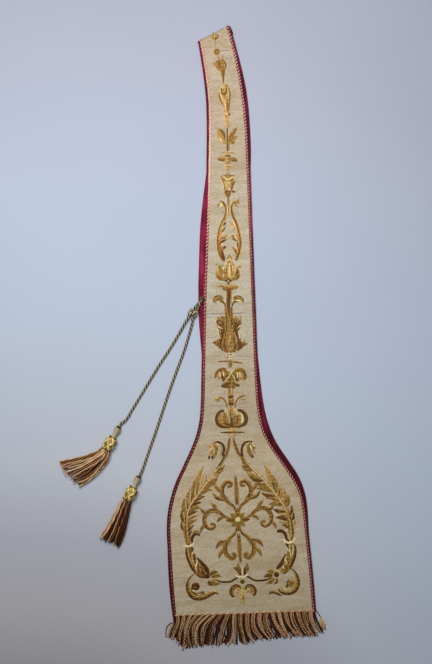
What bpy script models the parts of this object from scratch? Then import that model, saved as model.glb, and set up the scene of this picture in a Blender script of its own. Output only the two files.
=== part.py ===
"""A clerical stole, folded in half at its neck seam and laid flat.

The front half lies face up: an embroidered silk panel with a corded trim on a lining that
shows as a narrow border. The lining and the panel turn over at the neck seam and meet the
back half, which lies face down underneath, a little askew. Both halves end in a fringe, and
a knotted tie cord with two tassels comes out of the left edge.

Layout places are in millimetres: across to the right, up from the front hem towards the neck,
and height above the surface that the stole lies on. The solids are in metres, with their
origin at the bottom centre of the stole, without its tie cord. +Y runs up to the neck.
"""
import math

import bmesh
import bpy
import numpy as np
from mathutils import Vector

MM = 0.001

# Layout place of the origin.
ORIGIN_ACROSS = -1.5
ORIGIN_UP = 489.3

# Cloth layers.
SEAM_GAP = 0.3
FACE_WALL = 1.2
LINING_WALL = 1.0
BACK_TOP = 2.6
LINING_BOTTOM = BACK_TOP + SEAM_GAP
FACE_BOTTOM = LINING_BOTTOM + LINING_WALL + SEAM_GAP
FACE_TOP = FACE_BOTTOM + FACE_WALL

# Edges: the outline below is the outer side of the trim.
TRIM_RADIUS = 1.5
TRIM_TURNS = (0.35, 0.8, 1.25)
FACE_INSET = 2.0 * TRIM_RADIUS + SEAM_GAP
BORDER = 4.0

# Neck: the cloth turns over in a half round and runs under for a short way.
FOLD_RADIUS = 4.2
FOLD_RUN_UP = 75.0
FOLD_UNDER = 12.0
FOLD_STEPS = 8

COLUMNS_ACROSS = 8
FLARE_START = 170.0
FLARE_END = 350.0
TOP_START = 920.0


def table(names, *rows):
    """Columns by name, from one row of numbers for each section."""
    return dict(zip(names.split(), (np.array(column) for column in zip(*rows))))


# Front outline by level: the edges, and how far the right end lies above the middle.
OUTLINE = table(
    "up left right skew",
    (-5.0, -126.3, 123.3, -2.5),
    (20.0, -127.4, 122.6, -0.5),
    (60.0, -128.4, 121.2, 0.0),
    (110.0, -128.9, 118.8, 0.0),
    (150.0, -128.7, 116.8, 0.0),
    (178.0, -125.8, 115.0, 0.0),
    (205.0, -119.3, 110.2, 0.0),
    (233.0, -108.8, 98.2, 0.0),
    (262.0, -93.8, 80.6, 0.0),
    (290.0, -79.0, 63.4, 0.0),
    (318.0, -66.6, 50.6, 0.0),
    (345.0, -59.2, 45.2, 0.0),
    (372.0, -55.6, 43.0, 0.0),
    (410.0, -52.6, 42.5, 0.0),
    (460.0, -49.0, 43.1, 0.0),
    (520.0, -44.7, 44.2, 0.0),
    (575.0, -40.5, 44.9, 0.0),
    (630.0, -35.5, 45.8, 0.0),
    (690.0, -30.2, 46.7, 0.0),
    (750.0, -25.4, 47.6, 0.0),
    (810.0, -21.6, 48.3, 0.0),
    (870.0, -17.9, 48.5, 0.0),
    (920.0, -16.6, 46.0, 0.5),
    (960.0, -18.4, 41.6, 3.0),
    (1000.0, -21.6, 34.6, 7.8),
    (1034.0, -25.0, 26.6, 11.3),
)

# Gentle rise of the front layers by level, at the left edge, the middle and the right edge.
LIFT = table(
    "up left middle right",
    (-5.0, 0.0, 0.0, 0.0),
    (60.0, 0.3, 0.2, 0.6),
    (150.0, 0.8, 0.2, 0.5),
    (240.0, 0.2, 0.6, 1.0),
    (330.0, 1.0, 0.3, 0.2),
    (430.0, 0.2, 0.8, 0.9),
    (520.0, 0.9, 0.2, 0.3),
    (600.0, 1.2, 0.5, 0.2),
    (690.0, 1.6, 0.9, 0.3),
    (780.0, 0.9, 0.5, 1.0),
    (870.0, 0.3, 0.6, 1.2),
    (950.0, 0.5, 0.2, 0.5),
    (1005.0, 0.0, 0.0, 0.0),
    (1034.0, 0.0, 0.0, 0.0),
)

# Back half by level: how far it lies to the right of the front, and its skew.
BACK = table(
    "up shift skew",
    (-15.0, 0.6, 5.0),
    (30.0, -1.3, 2.0),
    (110.0, -0.5, 0.0),
    (175.0, 2.7, 0.0),
    (204.0, 4.4, 0.0),
    (233.0, 7.2, 0.0),
    (262.0, 8.2, 0.0),
    (291.0, 8.6, 0.0),
    (320.0, 9.2, 0.0),
    (348.0, 7.4, 0.0),
    (377.0, 5.4, 0.0),
    (406.0, 3.6, 0.0),
    (460.0, 0.0, 0.0),
    (520.0, -6.0, 0.0),
    (578.0, -8.6, 0.0),
    (640.0, -9.4, 0.0),
    (690.0, -9.2, 0.0),
    (750.0, -4.6, 0.0),
    (810.0, 2.0, 0.0),
    (870.0, 3.2, 0.0),
    (925.0, 3.8, 0.5),
    (960.0, 2.8, 3.0),
    (1000.0, 0.6, 7.8),
    (1034.0, 0.0, 11.3),
)

# Side profile of the back half: two layers with a groove between them. Each point is
# a distance in from the lining's edge and a height.
BACK_SIDE = table(
    "inset height",
    (5.0, 0.0),
    (3.9, 0.5),
    (4.0, 1.0),
    (4.8, 1.2),
    (0.8, 1.4),
    (0.0, 1.95),
    (0.7, 2.45),
    (2.4, BACK_TOP),
)

# Fringes: how far each strand's tip lies to the right of its root, and its length.
FRONT_FRINGE = table(
    "across lean length",
    (-122.0, -7.0, 52.0),
    (-95.0, -9.0, 56.0),
    (-60.0, -7.0, 57.0),
    (-25.0, -6.0, 55.0),
    (0.0, 1.0, 52.0),
    (30.0, 12.0, 47.0),
    (70.0, 14.0, 45.0),
    (105.0, 13.0, 44.0),
    (117.0, 14.0, 44.0),
    (121.0, 22.5, 37.0),
)
BACK_FRINGE = table(
    "across lean length",
    (-128.0, -21.0, 19.0),
    (-119.0, -13.0, 27.0),
    (-117.0, -10.0, 30.0),
    (-113.0, -8.0, 48.0),
    (-90.0, -6.0, 44.0),
    (-40.0, -2.0, 42.0),
    (40.0, 6.0, 40.0),
    (100.0, 8.0, 38.0),
    (124.0, 12.0, 36.0),
)
FRINGE_STRIP = 2.2
FRINGE_RINGS = 4
FRONT_STRANDS = 50
BACK_STRANDS = 40
ROOT_SHARE = 0.36
TIP_TAPER = 0.25
LENGTH_SPREAD = 2.2
LENGTH_JITTER = 1.3
SWAY = 1.6

# Bottom and top of the strands at their roots and at their tips.
FRONT_ROOT = (3.2, 5.2)
FRONT_TIP = (2.5, 3.9)
BACK_ROOT = (0.5, 2.2)
BACK_TIP = (0.4, 1.8)

# Tie cord: two legs sewn in at the left edge, knotted together, with a tassel on each.
CORD_DIAMETER = 4.8
CORD_SPACING = CORD_DIAMETER + SEAM_GAP
CORD_POINT_STEP = 12.0
CORD_STRAIGHT = 5.0
CORD_END = 3.0
CORD_EXIT = Vector((-46.4, 562.4, 8.1))
KNOT_START = Vector((-57.8, 546.6, 6.6))
KNOT_END = Vector((-69.8, 530.4, 6.0))
KNOT_HEIGHT = 6.4
KNOT = table(
    "part half_width half_depth",
    (0.0, 5.4, 3.0),
    (0.12, 7.2, 5.0),
    (0.35, 8.6, 6.1),
    (0.62, 8.8, 6.1),
    (0.88, 7.2, 5.0),
    (1.0, 5.4, 3.0),
)
LEG_A_ROUTE = (
    (-91.5, 503.5, 3.2),
    (-107.0, 482.0, 2.8),
    (-127.0, 455.0, 2.8),
    (-147.0, 427.0, 2.8),
    (-167.0, 398.5, 2.8),
    (-185.5, 371.0, 2.8),
    (-198.0, 352.0, 4.0),
)
LEG_B_ROUTE = (
    (-74.0, 501.0, 3.2),
    (-85.0, 470.0, 2.8),
    (-100.0, 436.0, 2.8),
    (-115.0, 400.0, 2.8),
    (-130.0, 363.0, 2.8),
    (-145.5, 324.0, 2.8),
    (-160.0, 287.0, 2.8),
    (-168.5, 266.0, 4.0),
)

# Tassel head, from the cord to the skirt: a bell cap, a neck and a netted ball. The height
# is that of its middle.
HEAD = table(
    "along radius height",
    (0.0, 3.2, 5.6),
    (3.0, 5.6, 6.3),
    (8.0, 6.2, 6.8),
    (14.0, 4.6, 7.6),
    (21.0, 4.4, 8.8),
    (23.0, 7.2, 9.2),
    (28.0, 9.4, 9.9),
    (34.0, 9.9, 10.3),
    (40.0, 9.2, 10.0),
    (45.0, 7.9, 9.4),
    (47.0, 7.4, 9.1),
)
HEAD_SIDES = 12
TASSEL_A_START = Vector((-207.5, 341.5))
TASSEL_A_AXIS = Vector((-0.54, -0.84)).normalized()
TASSEL_B_START = Vector((-176.5, 250.5))
TASSEL_B_AXIS = Vector((-0.51, -0.86)).normalized()

# Tassel skirts, from root to tips: the middle line, its height, and half its width and depth.
SKIRT_A = table(
    "part across up height half_width half_depth",
    (0.0, -235.0, 298.5, 9.0, 7.8, 7.8),
    (0.3, -251.0, 287.5, 8.6, 15.0, 7.8),
    (0.65, -277.0, 273.0, 7.0, 24.0, 6.2),
    (1.0, -309.0, 257.0, 5.2, 30.5, 4.6),
)
SKIRT_B = table(
    "part across up height half_width half_depth",
    (0.0, -201.9, 207.6, 9.0, 7.8, 7.8),
    (0.3, -210.8, 186.0, 8.6, 13.5, 7.8),
    (0.65, -223.5, 158.0, 7.0, 18.0, 6.2),
    (1.0, -238.0, 131.5, 5.2, 21.0, 4.6),
)
SKIRT_STRANDS = 28
SKIRT_RING = 2.6
SKIRT_RINGS = 4
SKIRT_REACH = 0.93
SKIRT_A_SLANT = 0.05
SKIRT_B_SLANT = 0.0
STRAND_DEPTH = 1.8
STRAND_SHARE = 0.40
STRAND_TAPER = 0.12

# Raised embroidery. Its axis runs down the band: how far it lies to the right at each level.
AXIS = table(
    "up across",
    (0.0, -1.0),
    (60.0, -2.7),
    (120.0, -4.0),
    (240.0, -4.0),
    (330.0, -5.5),
    (380.0, -5.0),
    (445.0, -2.5),
    (480.0, -1.3),
    (530.0, 0.0),
    (560.0, 1.2),
    (590.0, 2.5),
    (620.0, 4.5),
    (660.0, 7.0),
    (700.0, 7.6),
    (730.0, 9.2),
    (760.0, 11.0),
    (808.0, 12.6),
    (845.0, 14.3),
    (890.0, 15.6),
    (940.0, 15.4),
    (960.0, 12.7),
    (980.0, 6.4),
    (1003.0, 3.6),
)
STITCH_RELIEF = 0.9
STITCH_STEP = 6.5

# Each stroke is a line of stitching: distance from the axis, level and width at each of
# its points. A pair is a right-hand stroke and its mirror image.
STROKE_PAIRS = {
    "branch": (
        (2.6, 312.0, 3.0), (9.0, 285.0, 6.0), (17.0, 271.0, 8.0), (29.0, 255.0, 10.0), (45.0, 240.0, 12.0),
        (63.0, 222.0, 14.0), (77.0, 204.0, 15.0), (87.0, 183.0, 15.0), (93.0, 157.0, 14.0), (92.5, 125.0, 9.0),
    ),
    "branch_curl": (
        (24.0, 272.0, 3.0), (20.5, 286.0, 3.5), (22.5, 298.0, 4.0), (30.0, 302.5, 5.0), (37.0, 297.0, 11.0),
        (39.5, 287.0, 11.0), (36.0, 276.0, 4.0),
    ),
    "arm": ((92.5, 117.0, 9.0), (91.0, 100.0, 15.0), (86.0, 85.0, 15.0), (78.0, 75.5, 12.0), (68.0, 66.0, 6.0)),
    "volute": (
        (93.5, 68.0, 3.0), (99.2, 58.0, 5.0), (100.4, 45.0, 7.0), (97.0, 33.5, 8.0), (89.0, 26.0, 8.0),
        (78.5, 24.5, 8.0), (68.0, 27.5, 7.0), (57.5, 31.5, 3.0),
    ),
    "hem_scroll": ((8.0, 27.0, 3.0), (8.5, 37.0, 6.0), (14.5, 43.0, 7.0), (21.0, 38.5, 7.0), (20.0, 28.5, 4.0)),
    "upper_scroll": (
        (5.0, 188.0, 3.0), (18.0, 195.0, 6.0), (28.0, 209.0, 8.0), (26.0, 227.0, 7.0), (14.0, 235.0, 6.0),
        (8.0, 225.0, 4.0),
    ),
    "side_scroll": (
        (22.0, 167.0, 3.0), (33.0, 179.0, 6.0), (49.0, 180.0, 8.0), (59.0, 167.0, 8.0), (56.0, 150.0, 7.0),
        (43.0, 145.0, 6.0), (37.0, 155.0, 4.0),
    ),
    "lower_scroll": (
        (5.0, 138.0, 3.0), (18.0, 131.0, 6.0), (28.0, 117.0, 8.0), (26.0, 99.0, 7.0), (14.0, 91.0, 6.0),
        (8.0, 101.0, 4.0),
    ),
    "urn_scroll": (
        (12.0, 361.0, 3.0), (21.5, 359.0, 5.0), (27.5, 350.5, 6.0), (28.5, 341.5, 6.0), (25.0, 334.0, 6.0),
        (14.0, 329.5, 4.0),
    ),
    "twin_curl": (
        (2.6, 416.0, 3.0), (6.5, 427.0, 7.0), (14.0, 432.5, 9.0), (22.5, 428.5, 8.0), (26.3, 420.0, 7.0),
        (25.0, 412.0, 3.0),
    ),
    "vase_low_leaf": ((29.5, 480.0, 2.0), (24.5, 474.0, 8.0), (18.5, 467.5, 7.0), (12.0, 463.0, 3.0)),
    "vase_high_leaf": ((21.5, 529.0, 2.0), (19.0, 515.0, 10.0), (15.5, 501.0, 6.0), (13.5, 490.0, 2.5)),
    "vase_stem": (
        (4.6, 543.5, 3.5), (8.5, 554.0, 5.0), (15.0, 559.5, 7.0), (21.5, 559.5, 7.0), (26.0, 554.0, 3.0),
    ),
    "lotus_petal": ((22.5, 619.0, 2.0), (18.0, 608.0, 7.0), (16.5, 600.0, 9.0), (9.5, 594.5, 5.0)),
    "lyre_arm": (
        (2.8, 721.0, 2.5), (5.8, 710.0, 3.5), (11.2, 700.5, 4.5), (16.3, 690.5, 5.5), (19.3, 678.0, 6.0),
        (19.8, 664.0, 6.5), (19.2, 651.0, 6.5), (16.8, 641.0, 6.0), (11.5, 629.0, 2.5),
    ),
    "wing": ((17.0, 864.5, 1.5), (12.5, 857.0, 6.0), (8.0, 849.0, 7.0), (3.6, 838.5, 2.0)),
}
STROKES = {
    "hem_petal": ((0.0, 46.0, 2.0), (0.0, 36.0, 5.0), (0.0, 25.0, 9.0), (0.0, 11.5, 1.5)),
    "rosette": ((0.0, 184.5, 3.0), (0.0, 176.0, 20.0), (0.0, 163.0, 34.0), (0.0, 150.0, 20.0), (0.0, 141.5, 3.0)),
    "urn": ((0.0, 363.0, 4.0), (0.0, 352.0, 20.0), (0.0, 343.0, 32.0), (0.0, 335.0, 28.0), (0.0, 325.0, 20.0)),
    "urn_stem": ((0.0, 408.0, 14.0), (0.0, 398.0, 9.0), (0.0, 388.0, 6.5), (0.0, 369.0, 6.5)),
    "bar": ((-22.0, 447.8, 2.5), (0.0, 446.5, 4.5), (22.0, 444.5, 2.5)),
    "vase": (
        (0.0, 540.0, 12.0), (0.0, 515.0, 13.0), (0.0, 500.0, 17.0), (0.0, 488.0, 21.0), (0.0, 476.0, 25.0),
        (0.0, 466.0, 14.0),
    ),
    "bracket": ((-16.0, 581.5, 2.0), (-7.0, 579.5, 5.0), (0.0, 578.0, 8.0), (8.0, 579.5, 5.0), (17.5, 581.5, 2.0)),
    "lotus": ((0.0, 637.0, 2.0), (0.0, 622.0, 10.0), (0.0, 610.0, 12.0), (0.0, 598.0, 8.0), (0.0, 588.0, 5.0)),
    "tulip": ((0.0, 782.0, 18.0), (0.0, 770.0, 24.0), (0.0, 758.0, 15.0), (0.0, 750.0, 15.0), (0.0, 741.0, 3.0)),
    "crossbar": (
        (-17.5, 811.5, 4.0), (-6.5, 810.5, 8.0), (-4.5, 810.3, 15.0), (4.5, 809.5, 15.0), (6.5, 809.0, 8.0),
        (17.5, 807.5, 4.0),
    ),
    "pod": (
        (0.0, 944.0, 8.0), (0.0, 933.0, 18.0), (0.0, 915.0, 14.0), (0.0, 903.0, 9.0), (0.0, 885.0, 9.0),
        (0.0, 868.0, 6.0),
    ),
    "bud": ((0.0, 991.0, 7.0), (0.0, 982.0, 22.0), (0.0, 974.0, 15.0), (0.0, 966.0, 7.0), (0.0, 950.0, 2.0)),
}


def smooth(columns, name, at):
    """Value of a column at a place along the first one, on a smooth curve through the rows."""
    knots = next(iter(columns.values()))
    values = columns[name]
    slopes = np.gradient(values, knots)
    place = np.clip(at, knots[0], knots[-1])
    i = np.clip(np.searchsorted(knots, place, side="right") - 1, 0, len(knots) - 2)
    run = knots[i + 1] - knots[i]
    t = (place - knots[i]) / run
    start = values[i] * (1 + 2 * t) * (1 - t) ** 2 + slopes[i] * run * t * (1 - t) ** 2
    end = values[i + 1] * t * t * (3 - 2 * t) + slopes[i + 1] * run * t * t * (t - 1)
    return start + end


def ease(t):
    """Smooth step from 0 to 1."""
    t = min(max(t, 0.0), 1.0)
    return t * t * (3.0 - 2.0 * t)


def world(across, up, height):
    """World place, in metres, of a layout place in millimetres."""
    return Vector(((across - ORIGIN_ACROSS) * MM, (up - ORIGIN_UP) * MM, height * MM))


def levels(hem):
    """Levels of the cloth's rows, closer together around the flare."""
    neck = OUTLINE["up"][-1]
    end = np.linspace(hem, FLARE_START, 8)
    flare = np.linspace(FLARE_START, FLARE_END, 15)[1:]
    band = np.linspace(FLARE_END, TOP_START, 16)[1:]
    top = np.linspace(TOP_START, neck, 7)[1:]
    return np.concatenate([end, flare, band, top])


def edge_lines(rows, grow, shift=None):
    """Left and right edges, as lists of points, moved out by grow along the rows' own lines."""
    lines = []
    for side, sign in (("left", -1.0), ("right", 1.0)):
        points = []
        for up in rows:
            across = smooth(OUTLINE, side, up)
            skew = smooth(OUTLINE, "skew", up)
            if shift is not None:
                across += smooth(shift, "shift", up)
                skew = smooth(shift, "skew", up)
            points.append(Vector((across, up + sign * skew)))
        lines.append(points)
    moved = ([], [])
    for i, (left, right) in enumerate(zip(*lines)):
        row = (right - left).normalized()
        for points, target, sign in zip(lines, moved, (-1.0, 1.0)):
            along = points[min(i + 1, len(points) - 1)] - points[max(i - 1, 0)]
            out = Vector((along.y, -along.x)).normalized() * sign
            target.append(points[i] + row * grow / row.dot(out))
    return moved


def hem_line(hem, inset, shift=None):
    """Ends of the lining's hem, moved in along it by the inset."""
    left, right = (line[0] for line in edge_lines(levels(hem), BORDER, shift))
    along = (right - left).normalized()
    return left + along * inset, right - along * inset


def lift(up, part):
    """Rise of the front layers at a level and a part of the way across, from -1 to 1."""
    middle = smooth(LIFT, "middle", up)
    side = smooth(LIFT, "left" if part < 0 else "right", up)
    fold = (2.0 * FOLD_RADIUS - FACE_TOP) * ease((up - OUTLINE["up"][-1]) / FOLD_RUN_UP + 1.0)
    return middle + (side - middle) * part * part + fold


def new_object(name, mesh, material):
    thing = bpy.data.objects.new(name, mesh)
    thing.data.materials.append(material)
    bpy.context.collection.objects.link(thing)
    return thing


def mesh_object(name, points, faces, material):
    """An object from layout points and faces, turned so that every face points out."""
    shape = bmesh.new()
    corners = [shape.verts.new(world(*point)) for point in points]
    for face in faces:
        shape.faces.new([corners[i] for i in face])
    bmesh.ops.recalc_face_normals(shape, faces=shape.faces)
    mesh = bpy.data.meshes.new(name)
    shape.to_mesh(mesh)
    shape.free()
    return new_object(name, mesh, material)


def tube_object(name, points, radius, material):
    """A tube with closed ends along layout points."""
    curve = bpy.data.curves.new(name, "CURVE")
    curve.dimensions = "3D"
    curve.bevel_depth = radius * MM
    curve.bevel_resolution = 2
    curve.use_fill_caps = True
    spline = curve.splines.new("POLY")
    spline.points.add(len(points) - 1)
    for target, point in zip(spline.points, points):
        target.co = (*world(*point), 1.0)
    return new_object(name, curve, material)


def wall(name, outer, inner, material):
    """A cloth wall between two grids of points of the same size."""
    rows = len(outer)
    columns = len(outer[0])
    points = [point for grid in (outer, inner) for row in grid for point in row]

    def index(grid, row, column):
        return (grid * rows + row) * columns + column

    faces = []
    for grid in (0, 1):
        for row in range(rows - 1):
            for column in range(columns - 1):
                corners = ((row, column), (row, column + 1), (row + 1, column + 1), (row + 1, column))
                faces.append([index(grid, *corner) for corner in corners])
    rim = [(0, column) for column in range(columns)]
    rim += [(row, columns - 1) for row in range(1, rows)]
    rim += [(rows - 1, column) for column in range(columns - 2, -1, -1)]
    rim += [(row, 0) for row in range(rows - 2, 0, -1)]
    for here, following in zip(rim, rim[1:] + rim[:1]):
        faces.append([index(0, *here), index(0, *following), index(1, *following), index(1, *here)])
    return mesh_object(name, points, faces, material)


def loft(name, rings, material):
    """A solid through closed rings of points, with flat ends."""
    sides = len(rings[0])
    points = [point for ring in rings for point in ring]
    faces = []
    for ring in range(len(rings) - 1):
        for side in range(sides):
            following = (side + 1) % sides
            low = ring * sides
            high = low + sides
            faces.append([low + side, low + following, high + following, high + side])
    faces.append(list(range(sides)))
    faces.append([len(points) - sides + side for side in range(sides)])
    return mesh_object(name, points, faces, material)


def neck_outward():
    """The direction out of the neck fold, level with the cloth."""
    left, right = (line[-1] for line in edge_lines(levels(OUTLINE["up"][0]), 0.0))
    along = (right - left).normalized()
    return Vector((-along.y, along.x))


def front_layer(name, grow, depth, thickness, material):
    """A front layer, whose outer side lies depth below the face's, turned over at the neck."""
    rows = levels(OUTLINE["up"][0])
    left, right = edge_lines(rows, grow)
    parts = np.linspace(-1.0, 1.0, COLUMNS_ACROSS + 1)
    outward = neck_outward()
    outer, inner = [], []
    for i, up in enumerate(rows):
        top, bottom = [], []
        for part in parts:
            place = left[i].lerp(right[i], (part + 1.0) / 2.0)
            height = FACE_TOP + lift(up, part) - depth
            top.append((*place, height))
            bottom.append((*place, height - thickness))
        outer.append(top)
        inner.append(bottom)
    seam = [left[-1].lerp(right[-1], (part + 1.0) / 2.0) for part in parts]
    for step in range(1, FOLD_STEPS + 1):
        turn = math.pi * step / FOLD_STEPS
        for grid, radius in ((outer, FOLD_RADIUS - depth), (inner, FOLD_RADIUS - depth - thickness)):
            out = radius * math.sin(turn)
            height = FOLD_RADIUS + radius * math.cos(turn)
            grid.append([(*(place + outward * out), height) for place in seam])
    for grid, height in ((outer, depth), (inner, depth + thickness)):
        grid.append([(*(place - outward * FOLD_UNDER), height) for place in seam])
    return wall(name, outer, inner, material)


def back_half(name, material):
    """The back half: its layers share one solid, with the layers parted along its sides."""
    rows = levels(BACK["up"][0])
    left, right = edge_lines(rows, BORDER, BACK)
    outward = neck_outward()
    reach = FOLD_UNDER + SEAM_GAP
    left[-1] = left[-1] - outward * reach
    right[-1] = right[-1] - outward * reach
    rings = []
    for start, end in zip(left, right):
        along = (end - start).normalized()
        width = (end - start).length
        side = [(start + along * inset, height) for inset, height in zip(*BACK_SIDE.values())]
        other = [(end - along * inset, height) for inset, height in zip(*BACK_SIDE.values())]
        inner_parts = np.linspace(0.0, 1.0, COLUMNS_ACROSS - 1)[1:-1]
        top = [(start + along * width * part, BACK_TOP) for part in inner_parts]
        bottom = [(start + along * width * part, 0.0) for part in reversed(inner_parts)]
        ring = side + top + list(reversed(other)) + bottom
        rings.append([(*place, height) for place, height in ring])
    return loft(name, rings, material)


def trim(name, side, material):
    """The corded trim along one edge, up to the turn of the neck."""
    rows = levels(OUTLINE["up"][0])
    line = edge_lines(rows, -TRIM_RADIUS)[0 if side < 0 else 1]
    points = []
    for up, place in zip(rows, line):
        points.append((*place, FACE_BOTTOM + TRIM_RADIUS + lift(up, side)))
    outward = neck_outward()
    radius = FOLD_RADIUS - FACE_WALL + TRIM_RADIUS
    for turn in TRIM_TURNS:
        place = line[-1] + outward * radius * math.sin(turn)
        points.append((*place, FOLD_RADIUS + radius * math.cos(turn)))
    return tube_object(name, points, TRIM_RADIUS, material)


def comb(name, lines, strands, closed, material):
    """A narrow backing with strands fused to it.

    Each line crosses the backing at one side of a strand and holds four points: back top, back
    bottom, front top and front bottom. Each strand is a list of rings of four points.
    """
    points = [point for line in lines for point in line]
    faces = []
    count = len(lines)
    last = count if closed else count - 1
    for i in range(last):
        here = 4 * i
        there = 4 * ((i + 1) % count)
        faces.append([here, there, there + 2, here + 2])
        faces.append([here + 1, there + 1, there + 3, here + 3])
        faces.append([here, there, there + 1, here + 1])
        if i % 2 == 1:
            faces.append([here + 2, there + 2, there + 3, here + 3])
    if not closed:
        end = 4 * (count - 1)
        faces.append([0, 1, 3, 2])
        faces.append([end, end + 1, end + 3, end + 2])
    for i, rings in enumerate(strands):
        near = 8 * i
        ring = [near + 2, near + 6, near + 7, near + 3]
        for row in rings:
            following = [len(points) + k for k in range(4)]
            points.extend(row)
            for k in range(4):
                beside = (k + 1) % 4
                faces.append([ring[k], ring[beside], following[beside], following[k]])
            ring = following
        faces.append(ring)
    return mesh_object(name, points, faces, material)


def hem_fringe(name, shape, hem, count, root, tip, material):
    """A fringe below a hem line. Root and tip are the bottom and top of its strands."""
    left, right = hem
    along = (right - left).normalized()
    down = Vector((along.y, -along.x))
    pitch = (right - left).length / count
    lines, strands = [], []
    for i in range(count):
        middle = left + along * pitch * (i + 0.5)
        lean, length = (np.interp(middle.x, shape["across"], shape[column]) for column in ("lean", "length"))
        length += LENGTH_SPREAD * math.sin(2.4 * i) + LENGTH_JITTER * math.sin(5.1 * i)
        sway = SWAY * math.sin(1.9 * i)
        root_half = ROOT_SHARE * pitch
        for sign in (-1.0, 1.0):
            near = middle + along * root_half * sign + down * SEAM_GAP
            far = near + down * FRINGE_STRIP
            lines.append([(*place, height) for place in (near, far) for height in (root[1], root[0])])
        rings = []
        for ring in range(1, FRINGE_RINGS + 1):
            t = ring / FRINGE_RINGS
            half = root_half * (1.0 - TIP_TAPER * t)
            side = lean * t ** 1.5 + sway * math.sin(math.pi * t)
            place = middle + down * (SEAM_GAP + FRINGE_STRIP + length * t) + along * side
            bottom, top = (above + (end - above) * ease(1.4 * t) for above, end in zip(root, tip))
            start = place - along * half
            end = place + along * half
            rings.append(((*start, top), (*end, top), (*end, bottom), (*start, bottom)))
        strands.append(rings)
    return comb(name, lines, strands, False, material)


def tassel_head(name, start, axis, material):
    """A turned head along the axis, resting on the surface."""
    across = Vector((-axis.y, axis.x))
    rings = []
    for along, radius, height in zip(*HEAD.values()):
        middle = start + axis * along
        ring = []
        for side in range(HEAD_SIDES):
            turn = 2.0 * math.pi * (side + 0.5) / HEAD_SIDES
            place = middle + across * radius * math.cos(turn)
            ring.append((*place, height + radius * math.sin(turn)))
        rings.append(ring)
    return loft(name, rings, material)


def tassel_skirt(name, start, axis, shape, slant, material):
    """A ring under the head with strands that fan out and lie down.

    With a slant, the strands on one side are longer than those on the other.
    """
    head_end = start + axis * (HEAD["along"][-1] + SEAM_GAP)
    head_height = HEAD["height"][-1]

    def point(part, turn, inner):
        """A place on the skirt: part runs from the ring's back at -1 to the tips at 1."""
        depth = STRAND_DEPTH if inner else 0.0
        if part <= 0.0:
            middle = head_end + axis * SKIRT_RING * (1.0 + part)
            ahead = axis
            wide = deep = smooth(shape, "half_width", 0.0)
            height = head_height
        else:
            middle = Vector((smooth(shape, "across", part), smooth(shape, "up", part)))
            before = Vector((smooth(shape, "across", part - 0.05), smooth(shape, "up", part - 0.05)))
            ahead = (middle - before).normalized()
            wide = smooth(shape, "half_width", part)
            deep = smooth(shape, "half_depth", part)
            height = smooth(shape, "height", part)
        across = Vector((-ahead.y, ahead.x))
        place = middle + across * (wide - depth) * math.cos(turn)
        return (*place, height + (deep - depth) * math.sin(turn))

    lines, strands = [], []
    pitch = 2.0 * math.pi / SKIRT_STRANDS
    for i in range(SKIRT_STRANDS):
        middle = pitch * (i + 0.5)
        for sign in (-1.0, 1.0):
            turn = middle + sign * STRAND_SHARE * pitch
            back = (point(-1.0, turn, False), point(-1.0, turn, True))
            front = (point(0.0, turn, False), point(0.0, turn, True))
            lines.append(back + front)
        reach = SKIRT_REACH - slant * math.cos(middle)
        reach += 0.04 * math.sin(3.7 * i) + 0.02 * math.sin(1.3 * i)
        rings = []
        for ring in range(1, SKIRT_RINGS + 1):
            part = reach * ring / SKIRT_RINGS
            half = pitch * (STRAND_SHARE - STRAND_TAPER * ring / SKIRT_RINGS)
            low = middle - half
            high = middle + half
            corners = ((low, False), (high, False), (high, True), (low, True))
            rings.append([point(part, turn, inner) for turn, inner in corners])
        strands.append(rings)
    return comb(name, lines, strands, True, material)


def smooth_route(points, step, end=0.0):
    """Evenly spaced points on a smooth curve through the route's own points.

    With an end length, a short straight piece of that length comes at each end.
    """
    points = np.array(points, dtype=float)
    chords = np.linalg.norm(np.diff(points, axis=0), axis=1)
    knots = np.concatenate([[0.0], np.cumsum(chords)])
    axes = {"along": knots, "x": points[:, 0], "y": points[:, 1], "z": points[:, 2]}
    fine = np.linspace(0.0, knots[-1], 400)
    line = np.array([[smooth(axes, name, at) for name in "xyz"] for at in fine])
    run = np.concatenate([[0.0], np.cumsum(np.linalg.norm(np.diff(line, axis=0), axis=1))])
    stops = np.linspace(end, run[-1] - end, max(2, round(run[-1] / step)) + 1)
    if end > 0.0:
        stops = np.concatenate([[0.0], stops, [run[-1]]])
    return [tuple(np.interp(stop, run, line[:, k]) for k in range(3)) for stop in stops]


def knot_axis():
    flat = (KNOT_END - KNOT_START).xy.normalized()
    ahead = Vector((flat.x, flat.y, 0.0))
    return ahead, Vector((-flat.y, flat.x, 0.0))


def tie_knot(name, material):
    """The knot that binds the two legs: a lump with flat ends where the cords go in."""
    ahead, beside = knot_axis()
    length = (KNOT_END - KNOT_START).length
    rings = []
    for part, wide, deep in zip(*KNOT.values()):
        middle = KNOT_START + ahead * length * part
        ring = []
        for side in range(HEAD_SIDES):
            turn = 2.0 * math.pi * (side + 0.5) / HEAD_SIDES
            place = middle + beside * wide * math.cos(turn)
            ring.append((place.x, place.y, KNOT_HEIGHT + deep * math.sin(turn)))
        rings.append(ring)
    return loft(name, rings, material)


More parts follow.
